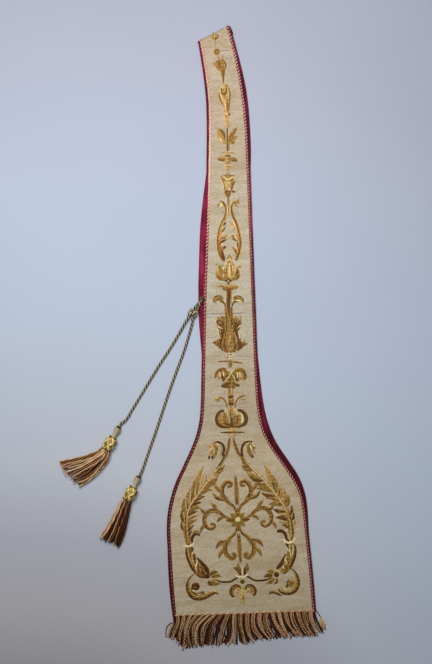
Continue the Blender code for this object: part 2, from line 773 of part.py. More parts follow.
def tie_cord(leg, side, route, start, axis, material):
    """One leg of the tie cord, parted at the knot: from the edge to it, and on to the tassel."""
    ahead, beside = knot_axis()
    apart = beside * CORD_SPACING / 2.0 * side
    above = [CORD_EXIT + apart, (CORD_EXIT + KNOT_START) / 2.0 + apart]
    above.append(KNOT_START + apart - ahead * SEAM_GAP)
    tube_object(f"tie_cord_{leg}_top", smooth_route(above, CORD_POINT_STEP / 2.0), CORD_DIAMETER / 2.0, material)
    height = HEAD["height"][0]
    below = [KNOT_END + apart + ahead * away for away in (SEAM_GAP, CORD_STRAIGHT)]
    below += [Vector(point) for point in route]
    below += [Vector((*(start - axis * away), height)) for away in (CORD_STRAIGHT, SEAM_GAP)]
    tube_object(f"tie_cord_{leg}", smooth_route(below, CORD_POINT_STEP, CORD_END), CORD_DIAMETER / 2.0, material)


def face_height(across, up):
    """Height of the face at a place on the front."""
    left = smooth(OUTLINE, "left", up)
    right = smooth(OUTLINE, "right", up)
    part = 2.0 * (across - left) / (right - left) - 1.0
    return FACE_TOP + lift(up, part)


def stitching(name, points, sign, material):
    """A raised stroke on the face: flat below and ridged along its middle."""
    line = [(sign * aside, up, width) for aside, up, width in points]
    path = smooth_route(line, STITCH_STEP)
    places = [Vector((aside + smooth(AXIS, "across", up), up)) for aside, up, _ in path]
    rings = []
    for i, (place, (_, _, width)) in enumerate(zip(places, path)):
        ahead = (places[min(i + 1, len(path) - 1)] - places[max(i - 1, 0)]).normalized()
        beside = Vector((-ahead.y, ahead.x)) * width / 2.0
        ring = []
        for corner, above in ((place - beside, 0.0), (place + beside, 0.0), (place, STITCH_RELIEF)):
            ring.append((*corner, face_height(*corner) + SEAM_GAP + above))
        rings.append(ring)
    return loft(name, rings, material)


def embroidery(material):
    for name, points in STROKE_PAIRS.items():
        for side, sign in (("left", -1.0), ("right", 1.0)):
            stitching(f"stitch_{name}_{side}", points, sign, material)
    for name, points in STROKES.items():
        stitching(f"stitch_{name}", points, 1.0, material)


def material(name, colour, roughness, metallic=0.0):
    made = bpy.data.materials.new(name)
    made.use_nodes = True
    shader = made.node_tree.nodes["Principled BSDF"]
    shader.inputs["Base Color"].default_value = (*colour, 1.0)
    shader.inputs["Roughness"].default_value = roughness
    shader.inputs["Metallic"].default_value = metallic
    return made


def main():
    for thing in list(bpy.data.objects):
        bpy.data.objects.remove(thing)

    silk = material("cream_silk", (0.56, 0.49, 0.36), 0.7)
    satin = material("crimson_satin", (0.28, 0.02, 0.07), 0.45)
    cord = material("gilt_cord", (0.50, 0.33, 0.22), 0.6)
    strand = material("gold_strand", (0.42, 0.29, 0.15), 0.75)
    gilt = material("gilt_thread", (0.52, 0.36, 0.12), 0.4, 0.3)

    front_layer("front_face", -FACE_INSET, 0.0, FACE_WALL, silk)
    front_layer("front_lining", BORDER, FACE_WALL + SEAM_GAP, LINING_WALL, satin)
    back_half("back_half", satin)
    trim("trim_left", -1.0, cord)
    trim("trim_right", 1.0, cord)

    hem = hem_line(OUTLINE["up"][0], BORDER)
    hem_fringe("front_fringe", FRONT_FRINGE, hem, FRONT_STRANDS, FRONT_ROOT, FRONT_TIP, strand)
    hem = hem_line(BACK["up"][0], SEAM_GAP, BACK)
    hem_fringe("back_fringe", BACK_FRINGE, hem, BACK_STRANDS, BACK_ROOT, BACK_TIP, strand)

    tie_knot("tie_knot", cord)
    tie_cord("a", -1.0, LEG_A_ROUTE, TASSEL_A_START, TASSEL_A_AXIS, cord)
    tie_cord("b", 1.0, LEG_B_ROUTE, TASSEL_B_START, TASSEL_B_AXIS, cord)
    tassel_head("tassel_a_head", TASSEL_A_START, TASSEL_A_AXIS, gilt)
    tassel_head("tassel_b_head", TASSEL_B_START, TASSEL_B_AXIS, gilt)
    tassel_skirt("tassel_a_skirt", TASSEL_A_START, TASSEL_A_AXIS, SKIRT_A, SKIRT_A_SLANT, strand)
    tassel_skirt("tassel_b_skirt", TASSEL_B_START, TASSEL_B_AXIS, SKIRT_B, SKIRT_B_SLANT, strand)
    embroidery(gilt)


main()
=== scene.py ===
"""Looks of the clerical stole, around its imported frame.

Layout places are in millimetres: across to the right, up from the front hem towards the neck,
and height above the floor. The frame is in metres, with its origin at the bottom centre.
"""
import math

import bpy
import numpy as np
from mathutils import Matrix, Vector


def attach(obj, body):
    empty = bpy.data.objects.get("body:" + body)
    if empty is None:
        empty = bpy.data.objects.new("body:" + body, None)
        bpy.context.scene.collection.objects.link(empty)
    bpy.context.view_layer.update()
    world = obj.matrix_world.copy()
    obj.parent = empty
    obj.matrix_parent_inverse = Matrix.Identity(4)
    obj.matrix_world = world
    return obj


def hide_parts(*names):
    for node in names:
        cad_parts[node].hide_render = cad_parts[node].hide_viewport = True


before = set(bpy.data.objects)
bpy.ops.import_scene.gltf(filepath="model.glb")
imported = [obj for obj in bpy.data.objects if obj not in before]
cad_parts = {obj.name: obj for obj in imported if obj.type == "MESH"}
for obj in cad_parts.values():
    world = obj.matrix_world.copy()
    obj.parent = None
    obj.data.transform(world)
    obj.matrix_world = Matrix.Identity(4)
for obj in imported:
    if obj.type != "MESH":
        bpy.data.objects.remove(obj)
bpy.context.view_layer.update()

MM = 0.001
ORIGIN = np.array((-1.5, 489.3, 0.0))
UP = (0.0, 0.0, 1.0)

# Cloth layers, as in the solids.
FACE_WALL = 1.2
FACE_BOTTOM = 4.2
FACE_TOP = 5.4
FACE_INSET = 2.5
BACK_FACE_INSET = 3.3
TRIM_RADIUS = 1.5
BACK_TRIM_INSET = 1.4
BORDER = 4.0
FOLD_RADIUS = 4.2
FOLD_RUN_UP = 75.0
FOLD_UNDER = 12.0
CLOTH = 0.9


def table(names, *rows):
    """Columns by name, from one row of numbers for each section."""
    return dict(zip(names.split(), (np.array(column) for column in zip(*rows))))


OUTLINE = table(
    "up left right skew",
    (-5, -126.3, 123.3, -2.5), (20, -127.4, 122.6, -0.5), (60, -128.4, 121.2, 0), (110, -128.9, 118.8, 0),
    (150, -128.7, 116.8, 0), (178, -125.8, 115.0, 0), (205, -119.3, 110.2, 0), (233, -108.8, 98.2, 0),
    (262, -93.8, 80.6, 0), (290, -79.0, 63.4, 0), (318, -66.6, 50.6, 0), (345, -59.2, 45.2, 0),
    (372, -55.6, 43.0, 0), (410, -52.6, 42.5, 0), (460, -49.0, 43.1, 0), (520, -44.7, 44.2, 0),
    (575, -40.5, 44.9, 0), (630, -35.5, 45.8, 0), (690, -30.2, 46.7, 0), (750, -25.4, 47.6, 0),
    (810, -21.6, 48.3, 0), (870, -17.9, 48.5, 0), (920, -16.6, 46.0, 0.5), (960, -18.4, 41.6, 3.0),
    (1000, -21.6, 34.6, 7.8), (1034, -25.0, 26.6, 11.3),
)
LIFT = table(
    "up left middle right",
    (-5, 0, 0, 0), (60, 0.3, 0.2, 0.6), (150, 0.8, 0.2, 0.5), (240, 0.2, 0.6, 1.0), (330, 1.0, 0.3, 0.2),
    (430, 0.2, 0.8, 0.9), (520, 0.9, 0.2, 0.3), (600, 1.2, 0.5, 0.2), (690, 1.6, 0.9, 0.3),
    (780, 0.9, 0.5, 1.0), (870, 0.3, 0.6, 1.2), (950, 0.5, 0.2, 0.5), (1005, 0, 0, 0), (1034, 0, 0, 0),
)
BACK = table(
    "up shift skew",
    (-15, 0.6, 5.0), (30, -1.3, 2.0), (110, -0.5, 0), (175, 2.7, 0), (204, 4.4, 0), (233, 7.2, 0),
    (262, 8.2, 0), (291, 8.6, 0), (320, 9.2, 0), (348, 7.4, 0), (377, 5.4, 0), (406, 3.6, 0), (460, 0, 0),
    (520, -6.0, 0), (578, -8.6, 0), (640, -9.4, 0), (690, -9.2, 0), (750, -4.6, 0), (810, 2.0, 0),
    (870, 3.2, 0), (925, 3.8, 0.5), (960, 2.8, 3.0), (1000, 0.6, 7.8), (1034, 0, 11.3),
)
AXIS = table(
    "up across",
    (0, -1.0), (60, -2.7), (120, -4.0), (240, -4.0), (330, -5.5), (380, -5.0), (445, -2.5), (480, -1.3),
    (530, 0), (560, 1.2), (590, 2.5), (620, 4.5), (660, 7.0), (700, 7.6), (730, 9.2), (760, 11.0),
    (808, 12.6), (845, 14.3), (890, 15.6), (940, 15.4), (960, 12.7), (980, 6.4), (1003, 3.6),
)
HEM = OUTLINE["up"][0]
BACK_HEM = BACK["up"][0]
NECK = OUTLINE["up"][-1]
FLARE_TOP = 360.0


# ---------------------------------------------------------------- shapes in numbers

def smooth(columns, name, at):
    """Value of a column at places along the first one, on a smooth curve through the rows."""
    knots = next(iter(columns.values()))
    values = columns[name]
    slopes = np.gradient(values, knots)
    place = np.clip(at, knots[0], knots[-1])
    i = np.clip(np.searchsorted(knots, place, side="right") - 1, 0, len(knots) - 2)
    run = knots[i + 1] - knots[i]
    t = (place - knots[i]) / run
    start = values[i] * (1 + 2 * t) * (1 - t) ** 2 + slopes[i] * run * t * (1 - t) ** 2
    end = values[i + 1] * t * t * (3 - 2 * t) + slopes[i + 1] * run * t * t * (t - 1)
    return start + end


def ease(t):
    t = np.clip(t, 0.0, 1.0)
    return t * t * (3.0 - 2.0 * t)


def fading(distance, reach):
    """One at no distance, and none from the reach on."""
    return 1.0 - np.clip(distance / reach, 0.0, 1.0)


def unit(vectors):
    return vectors / np.maximum(np.linalg.norm(vectors, axis=-1, keepdims=True), 1e-9)


def metres(points):
    return (np.asarray(points, float) - ORIGIN) * MM


def lifted(flat, height):
    """Places in three axes, from flat ones and their heights."""
    return np.concatenate([flat, np.broadcast_to(height, flat.shape[:-1])[..., None]], -1)


def lengths(line):
    """Length of a line up to each of its points."""
    return np.concatenate([[0.0], np.cumsum(np.linalg.norm(np.diff(line, axis=0), axis=1))])


def placed_on(line, run, stops):
    return np.stack([np.interp(stops, run, column) for column in line.T], -1)


def resample(line, step):
    line = np.asarray(line, float)
    run = lengths(line)
    return placed_on(line, run, np.linspace(0.0, run[-1], max(2, round(run[-1] / step)) + 1))


def route(points, step):
    """Evenly spaced points on a smooth curve through the route's own points."""
    points = np.array(points, float)
    knots = lengths(points[:, :2])
    columns = {"along": knots, **dict(enumerate(points.T))}
    fine = np.linspace(0.0, knots[-1], 60 * len(points))
    line = np.stack([smooth(columns, k, fine) for k in range(points.shape[1])], -1)
    run = lengths(line[:, :2])
    return placed_on(line, run, np.linspace(0.0, run[-1], max(2, round(run[-1] / step)) + 1))


def ripple(x, y, seed, size, waves=7):
    """Gentle uneven ground between about -1 and 1, with waves of about one size."""
    rng = np.random.default_rng(seed)
    height = 0.0
    for _ in range(waves):
        turn = rng.uniform(0.0, math.tau)
        pace = math.tau / (size * rng.uniform(0.65, 1.5))
        height = height + np.sin(pace * (x * math.cos(turn) + y * math.sin(turn)) + rng.uniform(0.0, math.tau))
    return height / math.sqrt(waves * 2.0)


def edge_lines(rows, grow, shift=None):
    """Left and right edges, moved out by grow along the rows' own lines."""
    ends = []
    for side, sign in (("left", -1.0), ("right", 1.0)):
        across = smooth(OUTLINE, side, rows)
        skew = smooth(OUTLINE, "skew", rows)
        if shift is not None:
            across = across + smooth(shift, "shift", rows)
            skew = smooth(shift, "skew", rows)
        ends.append(np.stack([across, rows + sign * skew], -1))
    row = unit(ends[1] - ends[0])
    moved = []
    for points, sign in zip(ends, (-1.0, 1.0)):
        along = np.gradient(points, axis=0)
        out = unit(np.stack([along[:, 1], -along[:, 0]], -1)) * sign
        moved.append(points + row * (grow / np.sum(row * out, -1))[:, None])
    return moved


NECK_LEFT, NECK_RIGHT = (line[-1] for line in edge_lines(np.linspace(HEM, NECK, 60), 0.0))
NECK_ALONG = unit(NECK_RIGHT - NECK_LEFT)
NECK_OUT = np.array((-NECK_ALONG[1], NECK_ALONG[0]))


def cross_rows(rows, grow, insets, middle, shift=None):
    """Places across each row, dense at both edges, and each one's distance from the nearer edge."""
    left, right = edge_lines(rows, grow, shift)
    width = np.linalg.norm(right - left, axis=-1)[:, None]
    insets = np.array(insets)
    parts = np.linspace(0.0, 1.0, middle + 2)[1:-1]
    inner = insets[-1] + (width - 2.0 * insets[-1]) * parts
    along = np.concatenate([np.tile(insets, (len(rows), 1)), inner, width - insets[::-1]], axis=1)
    place = left[:, None] + unit(right - left)[:, None] * along[..., None]
    return place, np.minimum(along, width - along)


def locate(x, y):
    """Level and part of the way across, from -1 to 1, of a place on the front."""
    up = np.asarray(y, float)
    for _ in range(3):
        left = smooth(OUTLINE, "left", up)
        right = smooth(OUTLINE, "right", up)
        part = np.clip(2.0 * (x - left) / (right - left) - 1.0, -1.1, 1.1)
        up = y - part * smooth(OUTLINE, "skew", up)
    return up, part


def rise(x, y):
    """Rise of the front layers, which also climb to the neck fold."""
    up, part = locate(x, y)
    middle = smooth(LIFT, "middle", up)
    side = np.where(part < 0, smooth(LIFT, "left", up), smooth(LIFT, "right", up))
    fold = (2.0 * FOLD_RADIUS - FACE_TOP) * ease((up - NECK) / FOLD_RUN_UP + 1.0)
    return middle + (side - middle) * part * part + fold


def bumps(x, y):
    """Small waves of the face: looser in the flare and along the edges, none at the neck."""
    up, part = locate(x, y)
    calm = ease((NECK - up) / 40.0) * (0.55 + 0.45 * ease((380.0 - up) / 160.0))
    wave = 0.26 * ripple(x, y, 11, 52.0) + 0.13 * ripple(x * 0.7, y * 1.6, 5, 21.0)
    pucker = 0.16 * np.sin(up * math.tau / 17.0 + 2.0 * ripple(x, y, 8, 60.0)) * np.clip(abs(part), 0, 1) ** 6
    crease = -0.55 * np.exp(-((y - 1006.0 + 0.07 * (x - 8.0)) / 1.3) ** 2) * ease((x - 4.0) / 8.0)
    return calm * (wave + pucker) + crease


# ---------------------------------------------------------------- meshes

def grid_faces(rows, columns, start=0, closed=False):
    wide = columns if closed else columns - 1
    row, column = np.meshgrid(np.arange(rows - 1), np.arange(wide), indexing="ij")
    near = start + row * columns + column
    beside = start + row * columns + (column + 1) % columns
    return np.stack([near, beside, beside + columns, near + columns], -1).reshape(-1, 4)


class Build:
    """Points and faces of one piece, gathered part by part, with numbers for its finish."""

    def __init__(self):
        self.points, self.faces, self.tone, self.thread = [], [], [], []
        self.count = 0

    def add(self, points, faces, tone=0.5, thread=0.0):
        points = np.asarray(points, float).reshape(-1, 3)
        self.points.append(points)
        self.faces.extend((np.asarray(faces) + self.count).tolist())
        for numbers, value in ((self.tone, tone), (self.thread, thread)):
            numbers.append(np.broadcast_to(np.asarray(value, float).reshape(-1), len(points)))
        self.count += len(points)

    def add_rings(self, rings, tone, thread=0.0, turned=1):
        """A round form through rings of points, with flat ends, turned inside out by -1."""
        rows, sides = rings.shape[:2]
        ends = self.count + np.arange(rows * sides).reshape(rows, sides)
        self.add(rings, grid_faces(rows, sides, closed=True)[:, ::turned], tone, thread)
        self.faces.extend((ends[0, ::-turned].tolist(), ends[-1, ::turned].tolist()))

    def piece(self, name, finish, replaced=()):
        mesh = bpy.data.meshes.new(name)
        mesh.from_pydata(metres(np.concatenate(self.points)).tolist(), [], self.faces)
        for label, values in (("tone", self.tone), ("thread", self.thread)):
            layer = mesh.attributes.new(label, "FLOAT", "POINT")
            layer.data.foreach_set("value", np.concatenate(values).astype(np.float32))
        mesh.polygons.foreach_set("use_smooth", np.ones(len(mesh.polygons), bool))
        mesh.materials.append(finish)
        made = bpy.data.objects.new(name, mesh)
        bpy.context.collection.objects.link(made)
        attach(made, "root")
        if replaced:
            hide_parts(*replaced)
        return made




def add_shell(build, upper, lower):
    """A closed cloth between two grids of points."""
    rows, columns = upper.shape[:2]
    count = rows * columns
    index = np.arange(count).reshape(rows, columns)
    rim = np.concatenate([index[0, :-1], index[:-1, -1], index[-1, :0:-1], index[:0:-1, 0]])
    following = np.roll(rim, -1)
    faces = np.concatenate([
        grid_faces(rows, columns),
        grid_faces(rows, columns, count)[:, ::-1],
        np.stack([following, rim, rim + count, following + count], -1),
    ])
    build.add(np.concatenate([upper.reshape(-1, 3), lower.reshape(-1, 3)]), faces)


def add_tube(build, line, radius, sides=6, tone=0.5, groove=None, flat=1.0):
    """A tube along a line, flattened by a share. With a groove line, its tone darkens towards that line as painted
    shade in the groove.
    """
    line = np.asarray(line, float)
    radius = np.broadcast_to(np.asarray(radius, float), len(line))
    ahead = unit(np.gradient(line, axis=0))
    beside = np.cross(ahead, UP)
    upright = np.linalg.norm(beside, axis=-1, keepdims=True) < 0.05
    beside = unit(np.where(upright, np.cross(ahead, (0.0, 1.0, 0.0)), beside))
    above = np.cross(beside, ahead)
    turn = np.linspace(0.0, math.tau, sides, endpoint=False)
    out = beside[:, None] * np.cos(turn)[:, None] + above[:, None] * (flat * np.sin(turn))[:, None]
    tone_and_groove_shade = np.broadcast_to(np.asarray(tone, float).reshape(-1, 1), (len(line), sides))
    if groove is not None:
        # Painted shade on the side of the tube that faces the groove line.
        facing = np.sum(out * unit(line - groove)[:, None], -1)
        tone_and_groove_shade = tone_and_groove_shade * (0.35 + 0.65 * ease(facing * 0.9 + 0.55))
    thread = np.broadcast_to(lengths(line)[:, None], (len(line), sides))
    build.add_rings(line[:, None] + out * radius[:, None, None], tone_and_groove_shade, thread, -1)


def add_twist(build, line, plies, ply_radius, offset, pitch, phase=0.0, tones=(0.5,), sides=6, end=1.0, flat=1.0):
    """A cord of plies twisted about a line, thinning towards its last end and flattened by given shares."""
    line = np.asarray(line, float)
    ahead = unit(np.gradient(line, axis=0))
    beside = unit(np.cross(ahead, UP) + 1e-6)
    above = np.cross(beside, ahead)
    run = lengths(line)
    share = 1.0 + (end - 1.0) * run / run[-1]
    for ply in range(plies):
        turn = phase + math.tau * (ply / plies + run / pitch)
        out = beside * np.cos(turn)[:, None] + above * (flat * np.sin(turn))[:, None]
        strand = line + out * (offset * share)[:, None]
        # Each ply gets painted shade on its side towards the cord's middle.
        add_tube(build, strand, ply_radius * share, sides, tones[ply % len(tones)], line)


# ---------------------------------------------------------------- finishes

WHITE = (255, 255, 255)


def linear(colour):
    """Linear colour from one in 0 to 255."""
    value = np.array(colour, float) / 255.0
    return (*np.where(value <= 0.04045, value / 12.92, ((value + 0.055) / 1.055) ** 2.4), 1.0)


class Finish:
    """A node material on a Principled shader."""

    def __init__(self, name, roughness, specular, metallic=0.0, sheen=0.0, sheen_tint=WHITE):
        self.material = bpy.data.materials.new(name)
        self.material.use_nodes = True
        self.tree = self.material.node_tree
        self.shader = self.tree.nodes["Principled BSDF"]
        for label, value in (("Roughness", roughness), ("Metallic", metallic), ("Sheen Weight", sheen),
                             ("Sheen Roughness", 0.4), ("Specular IOR Level", specular),
                             ("Sheen Tint", linear(sheen_tint))):
            self.shader.inputs[label].default_value = value
        self.place = self.node("ShaderNodeTexCoord").outputs["Object"]

    def node(self, kind, inputs=(), **settings):
        made = self.tree.nodes.new(kind)
        for name, value in settings.items():
            setattr(made, name, value)
        for name, value in dict(inputs).items():
            if isinstance(value, bpy.types.NodeSocket):
                self.tree.links.new(value, made.inputs[name])
            else:
                made.inputs[name].default_value = value
        return made

    def noise(self, scale, detail=3.0, stretch=(1.0, 1.0, 1.0), roughness=0.55, distortion=0.0):
        place = self.node("ShaderNodeMapping", {"Vector": self.place, "Scale": stretch}).outputs[0]
        inputs = {"Vector": place, "Scale": scale, "Detail": detail, "Roughness": roughness,
                  "Distortion": distortion}
        return self.node("ShaderNodeTexNoise", inputs).outputs["Fac"]

    def wave(self, scale, direction, distortion, detail):
        inputs = {"Vector": self.place, "Scale": scale, "Distortion": distortion, "Detail": detail,
                  "Detail Scale": 1.0}
        return self.node("ShaderNodeTexWave", inputs, wave_type="BANDS", bands_direction=direction,
                         wave_profile="SIN").outputs["Fac"]

    def attribute(self, name):
        return self.node("ShaderNodeAttribute", attribute_name=name).outputs["Fac"]

    def axis(self, name):
        return self.node("ShaderNodeSeparateXYZ", {"Vector": self.place}).outputs[name]

    def math(self, operation, first, second=0.5):
        return self.node("ShaderNodeMath", {0: first, 1: second}, operation=operation).outputs[0]

    def times(self, first, second):
        return self.math("MULTIPLY", first, second)

    def plus(self, first, second, share):
        """First, and a share of second."""
        return self.math("ADD", first, self.times(second, share))

    def apart(self, first, second):
        return self.math("ABSOLUTE", self.math("SUBTRACT", first, second))

    def remap(self, value, low, high, start=0.0, end=1.0, **settings):
        inputs = {"Value": value, "From Min": low, "From Max": high, "To Min": start, "To Max": end}
        return self.node("ShaderNodeMapRange", inputs, **settings).outputs[0]

    def ramp(self, fac, stops):
        made = self.node("ShaderNodeValToRGB", {"Fac": fac})
        elements = made.color_ramp.elements
        while len(elements) < len(stops):
            elements.new(0.5)
        for element, (at, colour) in zip(elements, stops):
            element.position = at
            element.color = linear(colour)
        return made.outputs["Color"]

    def mix(self, fac, first, second, blend="MIX"):
        return self.node("ShaderNodeMix", {0: fac, 6: first, 7: second}, data_type="RGBA",
                         blend_type=blend).outputs[2]

    def tinted(self, colour, fac, stops):
        """A colour times one along stops."""
        return self.mix(1.0, colour, self.ramp(fac, stops), "MULTIPLY")

    def by_level(self, colour, stops):
        """A colour tinted by the level of a place, from the hem's end at 0 to the neck's at 1."""
        return self.tinted(colour, self.remap(self.axis("Y"), -0.56, 0.56), stops)

    def crease(self, level, slope, low, high, wander):
        """Nearness, from 0 to 1, to a crease that runs across between two places, as a mask for painted crease shade
        and highlight.
        """
        line = self.plus(self.plus(self.axis("Y"), self.axis("X"), slope), wander, 0.004)
        near = self.remap(self.apart(line, level), 0.0, 0.0016, 1.0, 0.0, interpolation_type="SMOOTHSTEP")
        away = self.apart(self.axis("X"), (low + high) / 2.0)
        return self.times(near, self.remap(away, (high - low) * 0.35, (high - low) * 0.5, 1.0, 0.0))

    def done(self, colour, height, distance, strength):
        inputs = {"Height": height, "Distance": distance, "Strength": strength}
        normal = self.node("ShaderNodeBump", inputs).outputs["Normal"]
        for label, value in (("Base Color", colour), ("Normal", normal)):
            self.tree.links.new(value, self.shader.inputs[label])
        return self.material


# Pressed creases of the face, painted on the silk as shade with a fainter highlight below: level, slope, ends across
# and strength.
CREASES = (
    (0.0462, 0.02, -0.040, 0.036, 0.7), (0.0065, -0.05, -0.044, -0.018, 0.45), (-0.0295, 0.12, 0.010, 0.036, 0.45),
    (-0.0350, 0.10, 0.012, 0.034, 0.3), (0.119, 0.06, -0.034, 0.002, 0.25), (-0.117, -0.04, -0.05, 0.03, 0.2),
    (0.5185, 0.02, 0.004, 0.030, 0.6), (0.5035, 0.02, 0.018, 0.034, 0.4),
)
# Shift of each crease's painted highlight below its painted shade, in metres.
CREASE_HIGHLIGHT_SHIFT = 0.0026


def silk_finish():
    """Cream ribbed silk, with a faint watered pattern, some dull spots, a tint by level that is partly painted shade,
    and painted shade and highlights along its pressed creases.
    """
    made = Finish("cream_silk", 0.62, 0.35, sheen=0.12)
    watered = made.noise(26.0, 4.0, (0.5, 2.4, 1.0), 0.6, 1.2)
    stains = made.noise(9.0)
    fleck = made.noise(420.0, 2.0, (1.0, 1.7, 1.0), 0.7)
    colour = made.ramp(watered, ((0.30, (215, 197, 167)), (0.52, (232, 217, 193)), (0.75, (246, 234, 217))))
    # Tinted by level, darker towards the hem: partly yellowing of the silk, partly painted shade where the light
    # falls off towards the hem.
    colour = made.by_level(colour, (
        (0.05, (226, 224, 213)), (0.15, (240, 238, 230)), (0.3, (241, 237, 227)), (0.37, (230, 228, 221)),
        (0.47, (240, 244, 243)), (0.55, (240, 247, 251)), (0.63, (248, 252, 252)), (0.78, (240, 239, 237)),
        (0.87, (244, 239, 236)),
    ))
    colour = made.mix(made.times(made.math("SUBTRACT", stains, 0.42), 0.9), colour, linear((196, 166, 118)))
    colour = made.tinted(colour, fleck, ((0.30, (204, 196, 184)), (0.52, (240, 236, 228)), (0.75, (255, 255, 252))))
    height = made.plus(made.wave(420.0, "Y", 1.2, 2.0), made.wave(760.0, "X", 0.8, 1.0), 0.4)
    height = made.plus(height, fleck, 1.6)
    wander = made.noise(30.0, 2.0)
    # Painted shade along each pressed crease, then a fainter painted highlight a little below it.
    for below, share, tint in ((0.0, 1.0, (104, 96, 88)), (CREASE_HIGHLIGHT_SHIFT, 0.3, WHITE)):
        for level, slope, low, high, depth in CREASES:
            near = made.times(made.crease(level - below, slope, low, high, wander), depth * share)
            colour = made.mix(near, colour, linear(tint))
    return made.done(colour, height, 0.00022, 0.8)


def satin_finish():
    """Crimson satin, with pale and dark streaks of painted sheen and fold shade, and painted shade by level and
    across, darkest and greyest towards the hem.
    """
    made = Finish("crimson_satin", 0.42, 0.14, sheen=0.12, sheen_tint=(226, 130, 160))
    cloudy = made.noise(52.0, 4.0, (2.0, 0.5, 1.0), 0.65)
    # Pale and dark streaks along the satin: partly tone that differs at random, partly painted sheen on its folds and
    # painted shade between them.
    colour = made.ramp(cloudy, ((0.34, (94, 10, 34)), (0.52, (144, 24, 58)), (0.68, (188, 46, 92))))
    # Tinted by level: painted shade, darkest and greyest towards the hem, and darker again near the top.
    colour = made.by_level(colour, (
        (0.0, (176, 128, 132)), (0.33, (176, 132, 138)), (0.37, (176, 152, 156)), (0.43, (206, 194, 192)),
        (0.52, (242, 246, 246)), (0.6, (224, 226, 226)), (0.68, (252, 252, 252)), (0.745, (226, 228, 228)),
        (0.82, (204, 210, 208)), (1.0, (226, 232, 230)),
    ))
    # Tinted across: painted shade, darker at the far left and a little greyer on the right.
    colour = made.tinted(colour, made.remap(made.axis("X"), -0.13, 0.05), (
        (0.0, (200, 190, 180)), (0.28, WHITE), (0.42, WHITE), (0.86, (232, 246, 238)),
    ))
    height = made.plus(made.noise(150.0, 3.0, (1.5, 0.5, 1.0)), made.wave(900.0, "Y", 0.6, 1.0), 0.25)
    return made.done(colour, height, 0.0005, 0.6)


def thread_finish(name, roughness, specular, stops, metallic=0.0, grain=3.5, levels=None, dyes=None):
    """Threads whose colour runs along stops by the piece's tone, with fine ridges along them."""
    made = Finish(name, roughness, specular, metallic)
    speck = made.math("SUBTRACT", made.noise(700.0, 2.0), 0.5)
    colour = made.ramp(made.plus(made.attribute("tone"), speck, 0.28), stops)
    if levels:
        colour = made.by_level(colour, levels)
    if dyes:
        colour = made.tinted(colour, made.noise(48.0, 2.0), dyes)
    return made.done(colour, made.math("SINE", made.times(made.attribute("thread"), grain)), 0.00008, 0.6)


SILK = silk_finish()
SATIN = satin_finish()
STITCH = thread_finish("gilt_stitching", 0.42, 0.14, (
    (0.0, (74, 40, 10)), (0.18, (110, 74, 28)), (0.4, (148, 114, 56)), (0.62, (182, 150, 90)),
    (0.84, (216, 188, 134)), (1.0, (242, 224, 184)),
), 0.12, 7.0, ((0.3, (255, 255, 248)), (0.5, (255, 250, 246)), (0.85, (255, 242, 222))),
    ((0.36, (255, 235, 221)), (0.5, (255, 251, 244)), (0.62, (249, 254, 237))))
TRIM = thread_finish("trim_twist", 0.6, 0.12, (
    (0.0, (66, 12, 20)), (0.3, (140, 60, 62)), (0.6, (206, 146, 128)), (1.0, (250, 222, 198)),
))
STRAND = thread_finish("fringe_twist", 0.65, 0.1, (
    (0.0, (30, 10, 3)), (0.22, (90, 48, 24)), (0.5, (166, 124, 84)), (0.75, (220, 182, 140)),
    (1.0, (246, 216, 178)),
), dyes=((0.36, (255, 240, 234)), (0.5, (255, 252, 248)), (0.62, (250, 255, 240))))
CORD = thread_finish("tie_cord_twist", 0.55, 0.22, (
    (0.0, (24, 19, 14)), (0.25, (62, 53, 41)), (0.55, (138, 123, 92)), (0.8, (190, 176, 142)),
    (1.0, (226, 214, 184)),
))
GILT = thread_finish("gilt_net", 0.4, 0.4, (
    (0.0, (34, 22, 4)), (0.3, (100, 72, 22)), (0.6, (196, 160, 82)), (0.85, (228, 198, 116)),
    (1.0, (244, 224, 156)),
), 0.1)


# ---------------------------------------------------------------- cloth

CLOTH_ROWS = np.concatenate([np.linspace(HEM, FLARE_TOP, 122), np.linspace(FLARE_TOP, NECK, 170)[1:]])
BACK_ROWS = np.concatenate([np.linspace(BACK_HEM, FLARE_TOP, 90), np.linspace(FLARE_TOP, NECK, 120)[1:]])
FOLD_TURNS = np.linspace(0.0, math.pi, 15)[1:]
FACE_INSETS = (0.0, 0.35, 0.8, 1.5, 2.4, 4.0, 6.5, 10.0)
LINING_INSETS = (0.0, 0.25, 0.6, 1.1, 1.7, 2.4, 3.2, 4.1, 5.0, 6.0, 8.0)
LINING_FOLD_DEPTH = 1.5
ROLL_WIDTH = 5.6


def over_fold(grid, depth):
    """A grid of the front carried round the neck fold and a little way under it."""
    seam = grid[-1, :, :2]
    radius = FOLD_RADIUS - depth
    rows = [lifted(seam + NECK_OUT * (radius * math.sin(turn))[:, None], FOLD_RADIUS + radius * math.cos(turn))
            for turn in FOLD_TURNS]
    return np.concatenate([grid, rows, [lifted(seam - NECK_OUT * FOLD_UNDER, depth)]])


def front_cloth(name, grow, insets, middle, profile, finish, node):
    """A front layer that turns over at the neck. Its profile gives the depths below the face's top."""
    place, inset = cross_rows(CLOTH_ROWS, grow, insets, middle)
    x, y = place[..., 0], place[..., 1]
    base = FACE_TOP + rise(x, y)
    build = Build()
    add_shell(build, *(over_fold(lifted(place, base - depth), depth[-1]) for depth in profile(x, y, inset)))
    return build.piece(name, finish, [node])


def face_profile(x, y, inset):
    edge = 0.45 * fading(inset, 2.2) ** 2
    top = edge - bumps(x, y)
    return top, top + CLOTH - edge * 1.5


def edge_roll(inset):
    return np.sin(math.pi * np.clip(inset / ROLL_WIDTH, 0.0, 1.0)) ** 0.7


